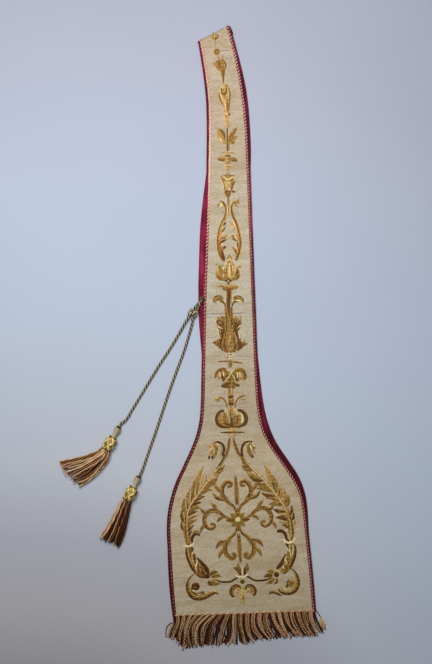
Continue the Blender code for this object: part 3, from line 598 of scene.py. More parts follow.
def lining_profile(x, y, inset):
    """A thin lining whose edge is turned in and stands up as a soft roll."""
    slack = 0.22 * np.sin(y * math.tau / 23.0 + 3.0 * ripple(x, y, 21, 90.0)) + 0.15 * ripple(x, y, 23, 12.0)
    turned_in = fading(inset, 1.2) ** 2
    return 1.5 + 0.55 * turned_in - 0.95 * edge_roll(inset) * (1.0 + slack), 2.45 - 0.35 * turned_in


def back_lining_profile(x, y, inset):
    slack = 0.12 * np.sin(y * math.tau / 27.0 + 3.0 * ripple(x, y, 31, 80.0))
    top = 2.15 - 0.3 * fading(inset, 1.2) ** 2 + (0.38 + slack) * edge_roll(inset)
    return top, 1.25 + 0.55 * fading(inset, 1.5) ** 2


def back_face_profile(*_):
    return 1.1, 0.12


def back_cloth(name, grow, insets, middle, profile, finish, nodes=()):
    """A layer of the back half, from its hem to the neck seam under the fold, at its profile's heights."""
    place, inset = cross_rows(BACK_ROWS, grow, insets, middle, BACK)
    place[-1] -= NECK_OUT * (FOLD_UNDER + 0.3)
    place[-2] = (place[-1] + place[-3]) / 2.0
    build = Build()
    add_shell(build, *(lifted(place, height) for height in profile(place[..., 0], place[..., 1], inset)))
    return build.piece(name, finish, nodes)


def cut(rows, grow, ends, shift=None):
    """Width, length and area, in metres and square metres, of a cloth's cut with this outline."""
    left, right = edge_lines(rows, grow, shift)
    width = np.linalg.norm(right - left, axis=-1)
    area = np.sum((width[1:] + width[:-1]) / 2.0 * np.diff(rows)) + width[-1] * ends
    return (width.max() * MM, (rows[-1] - rows[0] + ends) * MM), area * MM * MM


face = front_cloth("front_silk", -FACE_INSET, FACE_INSETS, 34, face_profile, SILK, "front_face")
lining = front_cloth("front_satin", BORDER, LINING_INSETS, 6, lining_profile, SATIN,
                     "front_lining")
back_lining = back_cloth("back_satin", BORDER, LINING_INSETS, 6, back_lining_profile, SATIN,
                         ["back_half"])
back_face = back_cloth("back_silk", -BACK_FACE_INSET, FACE_INSETS, 8, back_face_profile, SILK)


# ---------------------------------------------------------------- corded trim

TRIM_LOOKS = "up inset wide light ground"
# Side, pitch of the winding, and looks by level.
TRIMS = {
    "left": (-1.0, 6.4, table(
        TRIM_LOOKS, (0, 0, 1.1, 0.4, 0.02), (280, 0, 1.1, 0.42, 0.06), (420, -0.2, 1.15, 0.54, 0.22),
        (560, -0.2, 1.2, 0.7, 0.3), (660, -0.3, 1.25, 0.98, 0.28), (760, -1.6, 1.85, 1.0, 0.76),
        (900, -2.6, 2.05, 0.98, 0.72), (1040, -1.5, 1.6, 0.9, 0.6),
    )),
    "right": (1.0, 5.7, table(
        TRIM_LOOKS, (0, -0.4, 1.1, 0.56, 0.2), (400, -0.5, 1.2, 0.66, 0.22), (535, -0.5, 1.15, 0.5, 0.12),
        (655, -0.5, 1.15, 0.6, 0.28), (775, -0.5, 1.2, 0.72, 0.3), (915, -0.5, 1.3, 0.9, 0.3),
        (1040, -0.5, 1.3, 0.8, 0.26),
    )),
}
TRIM_OVER_FOLD = FOLD_RADIUS - FACE_WALL + TRIM_RADIUS
TRIM_LEAST_HEIGHT = 1.55
TRIM_FLATNESS = 0.75


def trim_pieces(name, side, pitch, looks):
    """The trim of one edge of the face, with its run over the neck fold, and that of the back under it."""
    rows = np.arange(HEM, NECK + 0.5, 1.0)
    line = edge_lines(rows, smooth(looks, "inset", rows))[side > 0]
    line = lifted(line, FACE_BOTTOM + TRIM_RADIUS + rise(line[:, 0], line[:, 1]))
    over = [(*(line[-1, :2] + NECK_OUT * TRIM_OVER_FOLD * math.sin(turn)),
             max(FOLD_RADIUS + TRIM_OVER_FOLD * math.cos(turn), TRIM_LEAST_HEIGHT))
            for turn in np.linspace(0.2, math.pi - 0.3, 9)]
    line = resample(np.concatenate([line, over]), 0.9)
    line[:, 0] += 0.18 * np.sin(np.arange(len(line)) * 0.19)
    wide = smooth(looks, "wide", line[:, 1])
    light = smooth(looks, "light", line[:, 1]) + 0.1 * ripple(line[:, 0], line[:, 1], 61, 30.0)
    build = Build()
    add_tube(build, line - (0.0, 0.0, 0.15), wide + 0.1, 8, smooth(looks, "ground", line[:, 1]), None, TRIM_FLATNESS)
    add_twist(build, line, 1, 0.82, wide - 0.25, -pitch, side, (light,), 6, 1.0, TRIM_FLATNESS)
    build.piece(f"trim_twist_{name}", TRIM, [f"trim_{name}"])
    rows = np.arange(BACK_HEM, NECK + 0.5, 1.0)
    line = resample(lifted(edge_lines(rows, -BACK_TRIM_INSET, BACK)[side > 0], 0.95), 1.3)
    build = Build()
    add_twist(build, line, 2, 0.5, 0.46, 9.6, side, (0.9, 0.75), 5)
    build.piece(f"back_trim_twist_{name}", TRIM)


for name, trim in TRIMS.items():
    trim_pieces(name, *trim)


# ---------------------------------------------------------------- hem fringes

# Way of the front strands: aside of the root at a third, at two thirds and at the tip, and the length.
FRONT_SWEEP = table(
    "across third two_thirds tip length",
    (-124, -1, -8, -11, 41), (-118, -1, -6, -9, 42), (-111, -3, -8, -11, 47), (-100, -8, -11, -14, 60),
    (-85, -14, -16, -13, 57), (-70, -20, -23, -21, 57), (-52, -17, -22, -23, 57), (-40, -14, -21, -23, 58),
    (-31, -9, -14, -18, 58), (-24, -4, -6, -14, 57), (-19, -1, -2, -9, 57), (-16, 0, 2, 4, 56),
    (-9, -1, 3, 8, 55), (2, -1, 1, 5, 54), (12, -2, 1, 11, 50), (24, -2, 4, 15, 49), (36, -1, 5, 14, 48),
    (46, 1, 8, 18, 48), (60, 3, 9, 18, 47), (73, 2, 8, 22, 46), (84, 2, 9, 18, 45), (96, 1, 6, 13, 45),
    (108, 1, 5, 12, 45), (117, 1, 6, 13, 45), (121, 3, 9, 15, 43),
)
BACK_SWEEP = table(
    "across lean length",
    (-128, -21, 19), (-119, -13, 27), (-117, -10, 30), (-113, -8, 48), (-90, -6, 44), (-40, -2, 42),
    (40, 6, 40), (100, 8, 38), (124, 12, 36),
)
# Strands of a bundle: place beside its middle, depth, palest and darkest share, ply radius and ply offset. The
# deepest ones are dark, partly brown strands and partly painted shade in the gaps between the pale ones.
FRINGE_BUNDLE = (
    *((apart, 2.3, 0.02, 0.12, 0.98, 1.1) for apart in (-4.6, -1.6, 1.6, 4.6)),
    *((apart, 0.9, 0.04, 0.34, 0.7, 0.66) for apart in (4.5, 6.4)),
    *((apart, 0.0, -0.2, 0.12, 0.72, 0.62) for apart in (-3.0, -0.4, 2.2)),
)
# Loose strands at the left corner of the back hem: tone, then places.
CORNER_STRANDS = (
    (0.16, (-130.5, -16.5), (-136.0, -18.0), (-141.0, -22.0), (-143.5, -29.0), (-145.2, -37.0)),
    (0.95, (-129.5, -17.0), (-134.0, -21.0), (-138.5, -29.0), (-141.0, -38.0), (-142.0, -42.0)),
    (0.9, (-129.0, -17.0), (-133.0, -23.0), (-137.0, -32.0), (-139.0, -43.0)),
    (0.2, (-129.5, -18.0), (-132.5, -24.0), (-135.2, -31.0), (-137.0, -38.0)),
    (0.86, (-128.5, -17.0), (-131.5, -24.0), (-134.5, -33.0), (-136.0, -45.0)),
    (0.7, (-128.0, -17.0), (-130.0, -26.0), (-132.4, -36.0), (-133.2, -46.0)),
    (0.8, (-127.5, -17.0), (-129.0, -26.0), (-130.4, -36.0), (-130.6, -47.0)),
)
BUNDLES = 22
BACK_STRANDS = 46
FRONT_SEED = 7
BACK_SEED = 19
FRINGE_TOP = 4.7
HEADING_HEIGHT = 5.0
BACK_FRINGE_HEIGHT = 1.35
# The back fringe is pale to the left of this place.
PALE_LEFT = -118.0
# The swept left of the front fringe ends here; its bundles are gathered thinner.
SWEPT_LEFT = -30.0
TUFT_CORNER = np.array((125.0, -4.0, 1.6))
TUFT = np.array((136.0, -22.0, 1.4))


def hem_frame(hem, inset, shift=None):
    """Ends of a hem, and its directions along and down."""
    left, right = (line[0] for line in edge_lines(np.array((hem, hem + 4.0)), BORDER, shift))
    along = unit(right - left)
    return left + along * inset, right - along * inset, along, np.array((along[1], -along[0]))


def front_strands(build, rng, middle, along, down):
    """A bundle of pale strands, brown ones beside it, and dark ones under both, dark partly as painted shade in the
    gaps.
    """
    t = np.linspace(0.0, 1.0, 30)
    bunch = rng.normal(0.0, 1.3)
    right = middle[0] > SWEPT_LEFT
    slim = 1.0 if right else 0.74
    pale = rng.uniform(0.66, 1.04) if right else rng.uniform(0.5, 0.94)
    for apart, drop, low, high, ply, offset in FRINGE_BUNDLE:
        on_top = drop == 0.0
        if on_top:
            apart, ply, offset = slim * apart, slim * ply, slim * offset
        root = middle[0] + (0.0 if on_top else apart)
        third, two, tip, length = (np.interp(root, FRONT_SWEEP["across"], FRONT_SWEEP[name])
                                   for name in ("third", "two_thirds", "tip", "length"))
        long = length + rng.uniform(-4.0, 3.0) - drop
        gathered = bunch * (2.2 - 1.2 * slim) if on_top else 0.0
        sweep = apart + np.array((0.0, third, two, tip)) + np.array((0.0, 0.5, 1.0, 1.2)) * gathered
        sweep[1:] += rng.normal(0.0, (0.5, 0.9, 1.5)) * (0.45 if drop > 2.0 else 1.0)
        aside = smooth(table("t aside", *zip((0.0, 0.33, 0.67, 1.0), sweep)), "aside", t)
        height = FRINGE_TOP - drop - (1.9 - 0.6 * drop) * ease(1.3 * t) + rng.uniform(-0.3, 0.5) * np.sin(math.pi * t)
        line = lifted(middle + np.outer(0.2 + long * t, down) + np.outer(aside, along),
                      np.maximum(height, ply + offset))
        light = rng.uniform(low, high) + (pale if on_top else 0.0)
        add_twist(build, line, 2, ply, offset, rng.uniform(9.0, 12.0), rng.uniform(0, 6.0),
                  (light, light * 0.86), 6, 0.92)


def corner_tuft(build, rng):
    """The end of the trim at the right corner, with its loose tuft."""
    add_twist(build, np.linspace(TUFT_CORNER, TUFT, 16), 2, 0.5, 0.5, 6.0, 0.0, (0.1, 0.14), 5)
    for lean in np.linspace(-6.0, 6.0, 25):
        spread = lean * 1.15 + rng.uniform(-2.0, 2.0)
        ends = (TUFT + (lean * 0.4 - 0.3, 2.5 - 0.7 * abs(lean), 0.0),
                TUFT + (spread + 2.0, -18.0 + rng.uniform(-5.0, 4.0), -0.2))
        add_twist(build, np.linspace(*ends, 7), 2, 0.26, 0.22, 4.0, lean, (0.95, 0.72), 4)


def front_fringe():
    rng = np.random.default_rng(FRONT_SEED)
    left, right, along, down = hem_frame(HEM, BORDER)
    build = Build()
    for i in range(BUNDLES):
        front_strands(build, rng, left + (right - left) * ((i + 0.5) / BUNDLES), along, down)
    heading = lifted(np.linspace(left, right, 240) - down * 0.2, HEADING_HEIGHT)
    add_twist(build, heading, 2, 1.0, 0.85, 13.0, 0.0, (0.98, 0.7), 6)
    corner_tuft(build, rng)
    return build.piece("front_fringe_threads", STRAND, ["front_fringe"])


def back_fringe():
    rng = np.random.default_rng(BACK_SEED)
    left, right, along, down = hem_frame(BACK_HEM, 0.3, BACK)
    build = Build()
    t = np.linspace(0.0, 1.0, 26)
    for i in range(BACK_STRANDS):
        root = left + (right - left) * ((i + 0.5) / BACK_STRANDS)
        lean, length = (np.interp(root[0], BACK_SWEEP["across"], BACK_SWEEP[name]) for name in ("lean", "length"))
        length = length + rng.uniform(-2.0, 2.0)
        aside = lean * t ** 1.5 + rng.normal(0.0, 1.2) * np.sin(math.pi * t)
        line = lifted(root + np.outer(0.3 + length * t, down) + np.outer(aside, along),
                      BACK_FRINGE_HEIGHT - 0.2 * t)
        light = rng.uniform(0.0, 0.2) + (0.5 if root[0] < PALE_LEFT else 0.0)
        add_twist(build, line, 2, 0.6, 0.6, rng.uniform(7.5, 9.0), rng.uniform(0, 6.0),
                  (light, light * 0.8), 5, 0.92)
    for light, *places in CORNER_STRANDS:
        line = route(lifted(np.array(places), 1.5), 1.0)
        add_twist(build, line, 2, 0.55, 0.5, 7.0, light * 9.0, (light, light * 0.85), 5, 0.9)
    return build.piece("back_fringe_threads", STRAND, ["back_fringe"])


def neck_stitches():
    """Dark stitches along the fold at the neck, and the knot that ends them."""
    top = 2.0 * FOLD_RADIUS
    build = Build()
    for first, last in ((0.07, 0.42), (0.66, 0.9)):
        for at in np.arange(first, last, 0.062):
            ends = [NECK_LEFT + (NECK_RIGHT - NECK_LEFT) * (at + share) + NECK_OUT * lean
                    for share, lean in ((0.0, 1.5), (0.036, 2.6))]
            add_tube(build, resample(lifted(np.array(ends), top + 0.1), 0.8), 0.32, 5, 0.02)
    knot = lifted(NECK_LEFT + (NECK_RIGHT - NECK_LEFT) * 0.945 - NECK_OUT * 1.2, top + 0.2)
    t = np.linspace(0.0, 1.0, 30)
    turn = math.tau * 2.0 * t
    add_tube(build, knot + np.stack([0.9 * np.cos(turn), 0.9 * np.sin(turn), 0.5 * t], -1), 0.45, 5, 0.0)
    build.piece("neck_stitches", STITCH)


neck_stitches()
front_threads = front_fringe()
back_threads = back_fringe()

face_size, face_area = cut(CLOTH_ROWS, -FACE_INSET, math.pi * FOLD_RADIUS + FOLD_UNDER)
lining_size, lining_area = cut(CLOTH_ROWS, BORDER, math.pi * (FOLD_RADIUS - LINING_FOLD_DEPTH) + FOLD_UNDER)
back_rows = np.linspace(BACK_HEM, NECK - FOLD_UNDER, 200)
back_size, back_area = cut(back_rows, BORDER, 0.0, BACK)
back_size, back_area = cut(back_rows, -BACK_FACE_INSET, 0.0, BACK)


# ---------------------------------------------------------------- embroidery

# Tone of a stroke from the left of its run to its right.
TONES = {
    "pale": (0.86, 0.97, 1.0, 0.97, 0.84), "gold": (0.92, 0.66, 0.56, 0.66, 0.86),
    "tan": (0.82, 0.54, 0.47, 0.54, 0.76), "ochre": (0.62, 0.4, 0.32, 0.38, 0.56),
    "brown": (0.4, 0.2, 0.14, 0.2, 0.38), "dark": (0.18, 0.05, 0.02, 0.05, 0.2),
    "bg": (0.2, 0.26, 0.46, 0.72, 0.95), "td": (0.66, 0.48, 0.26, 0.08, 0.1), "dt": (0.1, 0.08, 0.26, 0.48, 0.66),
    "core": (0.66, 0.38, 0.16, 0.34, 0.6), "og": (0.62, 0.46, 0.3, 0.18, 0.14), "go": (0.14, 0.18, 0.3, 0.46, 0.62),
}

# Stitching of each motif, in the order in which it is laid, each row a little above the one before.
# A row has tones and then numbers: three are a ball's place and radius; six are a leaf's root, tip,
# width and bow to the left of its run; more are a stroke's places, each with its width. The word line
# marks a stroke of two places. A plus sign raises a row over what lies under it.
STITCHING = {
    "hem_scrolls": """
brown -94 46 3, -93 38 5, -87 33.5 6, -79 33 7, -73 35.5 5, -71 32 2
gold -98 52 1.5, -97.5 43 2.5, -93 34.5 3, -86 30 3, -78 30.5 2.5, -75 34 1.5
td -88 69.5 2, -94 65 3, -98.5 58 5, -100.5 48 7.5, -98.5 38 9, -92.5 29.5 10, -83 26 9.5, -73 27 9.5, \
-64 31 9.5, -56 34.5 8, -49 34 5, -46.5 30 2
tan+ -98.5 50 1, -97 40 1.8, -91.5 32 2, -83 28.6 2, -75 29.5 1.2
pale+ -60 37 1, -54 38.5 1.8, -50 35.5 1.2
dark -86.3 47.3 7.6
brown+ -88.5 45 3.2
pale+ -93 41 1, -90 38.8 2.6, -86.5 39.5 1
pale+ -85 34 1, -80 32.5 2.4, -76 33.5 1
dt 85.5 70.5 2, 91.5 65.5 3.5, 95.5 57 6.5, 97 46 9, 94 35.5 10.5, 86.5 28.5 10, 77 26.5 8, 68 29 7, 63 34 4.5, \
61.5 36 1.5
brown 67 22 1.5, 62 25 4.5, 55 28.6 5, 48 29.3 5, 44.5 26.5 2
tan 66 38 1.2, 69 34.5 2.4, 75 33 2.4
ochre 84.5 43.5 7.2
dark+ 85 45.3 2.4
gold+ 82 51.5 1.2, 88.5 50.5 2.4, 92 45 2.6, 91 39 2.6, 86 35.5 2
dark 81.5 51 1.5, 79 45.5 4, 78.5 40 4.6, 74.5 36.5 2.5
pale+ 73 34 2.4
gold+ 71 29.5 1, 79 31 1.6, 86 33 1
dark -48 55.8 2, -42 53.8 3.6, -33 52.3 3.8, -22 53 3.8, -15 57 3.8, -9 59.8 2.4
dark 4 60.5 2, 8 60 3.4, 13 56.5 3.8, 20 52.6 3.8, 31 51.6 3.8, 42 52.6 3.8, 48 54.6 3, 51.5 56 1.6
brown -59 65 -45 70.5 9 0.2
ochre -58 62 -38.5 62 9 0.14
tan -57 58 -44 57 6 0
ochre -59 55 -42 50 9 -0.12
brown -62 57 -55 47.5 8 -0.2
tan+ -58 57 -47 51.5 3 0
ochre 54 62 43.5 68 8 -0.2
brown 53 58.5 36.5 57.5 8 -0.14
ochre 56 54 39.5 45.5 7.5 0.1
brown 59.5 55 52.5 43.5 5 0.3
tan+ 55 57 42 51 3 0.1
gold 57 66 53 70 6 0
brown -6 63 -17 77 11 -0.28
dark -4.5 63 -12 73 7 -0.25
ochre -4 66 -8 84.5 9 0.1
ochre 2 66 7.5 84.5 9 -0.14
dark 2.4 63 4.6 79 7 -0.05
pale+ -1.8 62.5 -0.6 79 3.4 0
pale -15 64.5 1.6, -11 61.3 3.2, -5 59.3 4.2, 1 59.2 4, 6 61.5 3.2, 9.5 67 1.6
brown -2 51.3 4.4
td -5.5 39 3, -10 43.5 6.5, -17 42.5 8.5, -21.8 36.5 9, -21.6 29 8, -17.5 25 5
tan -9 30 1.6, -13 34 4.5, -11 38.5 4.5, -8 35 3
pale+ -15 31 1.2, -12.5 36 2.2, -16.5 37 1
dt 2 36 3, 6 42.5 6.5, 12.5 42.5 8.5, 17.8 37 9, 18.2 29.5 8.5, 15.5 25 5
ochre 6 31 2, 9 35 5, 13 34 5, 11 30 3
pale+ 8.5 31 1.2, 10.5 35.5 2, 7.5 37 1
gold -2 45 3, -2.2 37 9, -2.2 28 11, -1.8 20 8.5, -1.6 14 5, -1.4 10.5 1.5
gold 3 28 1.5, 6.5 24 3.4, 9.5 21.5 1.5
gold -6.5 28 1.5, -7.5 21 3.4, -7 15 1.5
dark+ -2 27 -1.8 18 3 0
pale+ -3 40 1.2, -3 32 2, -4.8 24 1
pale+ 3 26 8.5 22 2 0
""",
    "branches": """
td -10 311 3, -12 300 5, -14.5 290 5.5, -19 280 6, -25 270.5 6, -31 262 5.6, -38 254 3
tan -13 309 1.2, -15.5 296 2.4, -19 284 2.4, -24 274 1.4
dark -22 275 2, -24.5 281 4.6, -22 290 5.2, -23.5 298 4.6, -29 302.8 4.4, -36 304 3.4, -41 302.5 2
tan+ -28 275 1, -28.5 285 1.6, -26.5 294 1.6, -30.5 299.5 1
tan -22 272 2, -32 258.5 4, -44 247 5, -56 233.5 5.5, -67 219.5 6, -79 206 7, -89.5 192.5 8, -95.5 178 10, \
-97 162 12, -97 146 13, -96 133 12.5, -95 123.5 9
tan -73 209 -60.5 263 10 0.1
gold+ -68 219 -59 252 4.4 0.04
tan+ -64.5 224 -55.5 247 3.6 -0.04
ochre -81 200 -73.6 243 7.5 0.1
brown+ -76.6 208 -71.6 232 3 0
tan -90 189 -86.4 224 8.5 0.12
brown+ -86 197 -84 214 3.4 0
ochre -96 177 -97.6 207 7.5 0.12
brown+ -93.6 186 -92.6 201 3.4 0
brown -99.5 162 -102.4 187 6.5 0.14
tan+ -98 168 -99 184 2.6 0
brown -101 146 -104 168 5 0.15
ochre -46 245.5 -22 263 7 -0.12
brown+ -40 249.5 -23.5 260.5 2.4 0
tan -56 233 -31 250.5 7 -0.12
ochre -63 224 -34.5 245 8 -0.14
brown+ -56 228.5 -38 240.5 2.6 0
ochre -70 217 -48 233 6 -0.12
ochre -76 207 -49 221 10 0.1
tan+ -72 211.5 -53 220.5 2.6 0.08
ochre -50 219 2.8
brown -82 198 -60.5 208 7 0.1
tan+ -79 203 -64 208.5 2.4 0
brown -89 189 -67.5 197 9 0.16
ochre -92 183 -69 187.5 9 0.14
tan+ -86 190 -72 193 2.4 0
brown -95 174 -75 181.5 7.5 0.12
tan -97 165 -74.6 174.5 7 0.1
brown+ -92 169.5 -78 174 2.4 0
ochre -98 154 -76.6 167.5 8 0.1
brown -98 144 -83 158 6.5 0.05
brown -97 135 -87 149 5 0
pale+ -30 262 1, -41 249.6 1.6, -53 236.5 1.8, -64 223 1.8, -75 210 1.8, -86 196 1.8, -92.5 183.6 1.6, \
-95 172 1.2
brown+ -95.4 184 1.2, -98 168 2.6, -99 150 2.8, -98.6 134 2.4, -97.4 126 1.4
gold+ -93 176 1.2, -95.6 162 2, -96 146 2.2, -94.6 132 1.4
brown+ -91 170 1.2, -92.8 156 2.6, -92.6 140 2.4, -91.6 129 1.2
tan+ -101.6 160 1, -102.4 144 1.8, -100.6 130 1.2
dark+ -99 125.5 1.2, -95.5 123.6 2.6, -91 125 1.2
ochre -87 142 1.5, -81 146.5 4, -75 144.5 3, -73 141 1.5
dark -88.5 125.5 2.6, -88 134 5.6, -84 140 5.6, -78 141 4.6, -73.5 137.5 3
pale -106.5 122.5 2, -100.5 120.4 4, -94 120 4.2, -88 122.5 3.6, -83.5 127 2
dt -4.5 311 3, -3.2 300 5, -0.5 290 5.5, 4 280.5 6, 9.5 273.5 5.5
tan 7 279 1.2, 3.4 289 2, 0.6 300 1.2
dark 13 272 2, 10 279.5 4.6, 9.6 288.5 4.8, 12.4 296.5 4.6, 18 301.8 4.6, 25 303 3.4, 30 301 2
pale+ 16 303 1, 22 304.6 1.6, 27 303.5 1
ochre 24 256 7 275.5 8 0.1
brown 18 262 9 280 5 0.1
tan+ 20 262 11 276 2.4 0
tan 9 276 4, 17.5 264 5, 28 252 5, 40 239 5.6, 50 226.5 6, 60 213.5 7, 69.5 200 8, 79 186 9.5, 85.5 171.5 11, \
89 156 12, 90.5 141 12, 90.5 129 9.5, 89 120.5 6
tan 58 216 48 259 10 -0.1
gold+ 56.5 223 49.5 248 4.4 -0.04
ochre 66 205 62 240 8 -0.1
brown+ 64 212 61.5 231 3 0
tan 73 195 74 221 8.5 -0.1
brown+ 72 201 72.5 215 3.2 0
tan 78.5 188 80.5 217 7 -0.1
ochre 83 180 87.6 203 8 -0.12
brown+ 82.6 186 85 198 3 0
brown 88 165 93.4 184 6.5 -0.14
dark 90.5 155 96.5 171 5 -0.14
tan 91 146 98 160 4 -0.2
ochre 28 250 7.5 261 8 0.14
brown+ 23.5 252.6 10 259.6 2.4 0
tan 36 240.5 14 250 7 0.12
brown 45 231 19 241.5 8.5 0.12
tan+ 40 234.6 24 241 2.4 0
ochre 54 220 30.5 229 8.5 0.12
brown+ 50 222.6 35 227.6 2.6 0
ochre 62 209 32 216.5 10 -0.1
tan+ 57 212.5 37 216.5 2.4 0
brown 66 202 40 209 8 0.1
tan 74 192 48.5 199 9 -0.1
brown+ 68 194 53.5 198 2.6 0
ochre 79 184 52.5 187.5 10 -0.1
tan+ 74 187 58 188.6 2.4 0
brown 84 173 60 179 9 0.1
gold 85 165 67 170.5 6 -0.1
brown 87 156 63.5 163.5 9 -0.1
tan 88 149 68.5 155 5 -0.1
brown 88 141 73 150.5 6 -0.1
pale+ 16 266.5 1, 27.4 253 1.6, 39 240 1.8, 50 226.5 1.8, 60.5 212.5 1.8, 70.5 198 1.8, 79 184.5 1.8, \
84.6 171 1.2
brown+ 87 176 1.2, 90.6 160 2.8, 92.6 144 3.2, 92.8 131 3, 90 121 1.6
gold+ 85.4 170 1.2, 88.4 156 2, 90 142 2.2, 89.6 130 1.4
brown+ 83 164 1.2, 86 152 2.6, 86.6 142 2.4, 86 134 1.2
tan+ 94.4 156 1, 96 144 1.8, 95 131 1.2
dark 86 118.5 1.6, 81.5 124.5 5, 79.6 132 6, 75 137.5 6.5, 69 139 6.5, 64.5 137 3.4
pale 74.5 124 2, 78 118.6 4.6, 85 116 4.8, 92 117.8 4.4, 98.5 125.5 2
tan -38 304 -50 296.5 7 0.2
gold -40 301 -50.5 283 9 0.14
ochre -39 300 -44 273 10 0.1
brown -36 297 -39.5 276 7 -0.1
brown -34 297 -36 284 4 0
dark -43 281 -44.5 272.5 4.5 0
dark -48 281 -51 273.5 4 0
pale+ -43 300 -48 290 3 0.1
pale+ -40 294 -43.5 280 2.6 0.1
pale+ -36.5 303 -31 297 2 0.1
brown+ -41 291 -44 283 2 0
ochre 25 303 35.5 289 8 -0.16
gold 25.5 300 33.5 280 9 -0.1
ochre 24 299 28 272 9.5 -0.1
brown 21 296 23.5 280 6.5 0.1
dark 27 279 29.5 272 4 0
pale+ 26 298 29 284 3 -0.1
pale+ 29 301 33.5 291 2.4 -0.1
brown+ 30 290 31 281 2 0
""",
    "arms": """
ochre -94 118 9, -93 104 15, -89 91 17, -82 79 20, -75 70 18, -72 64.5 6
dark -100 117.5 2, -99 105 5, -95.4 92.5 6, -90.5 81 6.5, -85.5 74 5, -82 70 2
gold+ -96.4 115.5 2, -95.4 104 3.4, -92.2 93 3.2, -88.6 83.5 1.4
brown+ -93.4 117 2, -92.4 105 3.4, -90.4 95 1.4
dark+ -91.5 117.5 4, -88.5 115.5 5, -90 109 1.4
pale+ -84 113 1.2, -88.6 108 2.2, -90 99 2.2, -87.6 90 2, -85 83 1.2
brown+ -86 107 3, -85.6 99 6.5, -86 91 4, -84.6 85 1.4
pale+ -80 93 1.5, -82.8 87 3.6, -84 79 3.4, -82 73 1.6
brown+ -79.4 91 1.4, -79.6 83 4, -79 75 4.4, -80 70 2
dark+ -81 99 2, -77 93.5 5, -71.5 86.5 7, -66.5 79.5 8, -63 72.5 6.5, -61.5 67 3
brown+ -76 84.5 1.6, -73.4 77 6.5, -70.4 70 8, -69 65 4
pale+ -78 78.5 1, -76 77.5 2.4, -74 75 1
tan+ -66 71 1, -62.5 72 1.6, -60 78 1
brown -84 69 2, -77 64.5 5, -69 62.5 4, -65 62 2
dark+ -64.4 64.8 5
ochre 91 116 7, 90.4 104 14, 87.5 91 15.5, 82 79.5 17, 75 70 18, 71 63 6
dark 95 113.5 2.4, 96 104 4.8, 93.8 91.5 6, 89.4 81 6.5, 85.6 73.5 5, 83 69 2
pale+ 91.5 113 1.6, 92.4 106 2.8, 90.5 97 2.4, 88.6 90 1.2
pale+ 84.6 112 1.2, 86.4 103 2, 87 95 2.2, 85.6 87 1.4
pale+ 79.5 107.5 1, 83.5 102.5 1.8, 87 99.5 1
ochre+ 82.4 102 3, 82.8 93 5.5, 82.5 84 5.5, 81.5 76 3
dark+ 79.8 116.5 4, 82.5 112.5 5, 84.5 106.5 1.4
pale+ 77.6 92.5 1.2, 76.6 86.5 2.8, 79.4 80.5 2.4, 76.4 78 1.2
dark+ 79 97.5 1.6, 75.6 91.5 3.4, 72 85 5, 69 79 7.5, 64.5 75 7, 60.5 70.5 3.4
pale+ 73.5 77.5 1.2, 72.5 73.5 3, 74 70.5 1.2
brown+ 78 77 2, 78.5 70 4.4, 76.5 64.5 5, 72 61.5 2.4
gold+ 66 71 2, 68.6 65.5 4, 68 60.5 2
pale+ 57 66.5 1.2, 61 66.8 2.2, 65.5 64 1.2
dark+ 59.8 60.7 4.8
dark+ 71 80.3 2.6
""",
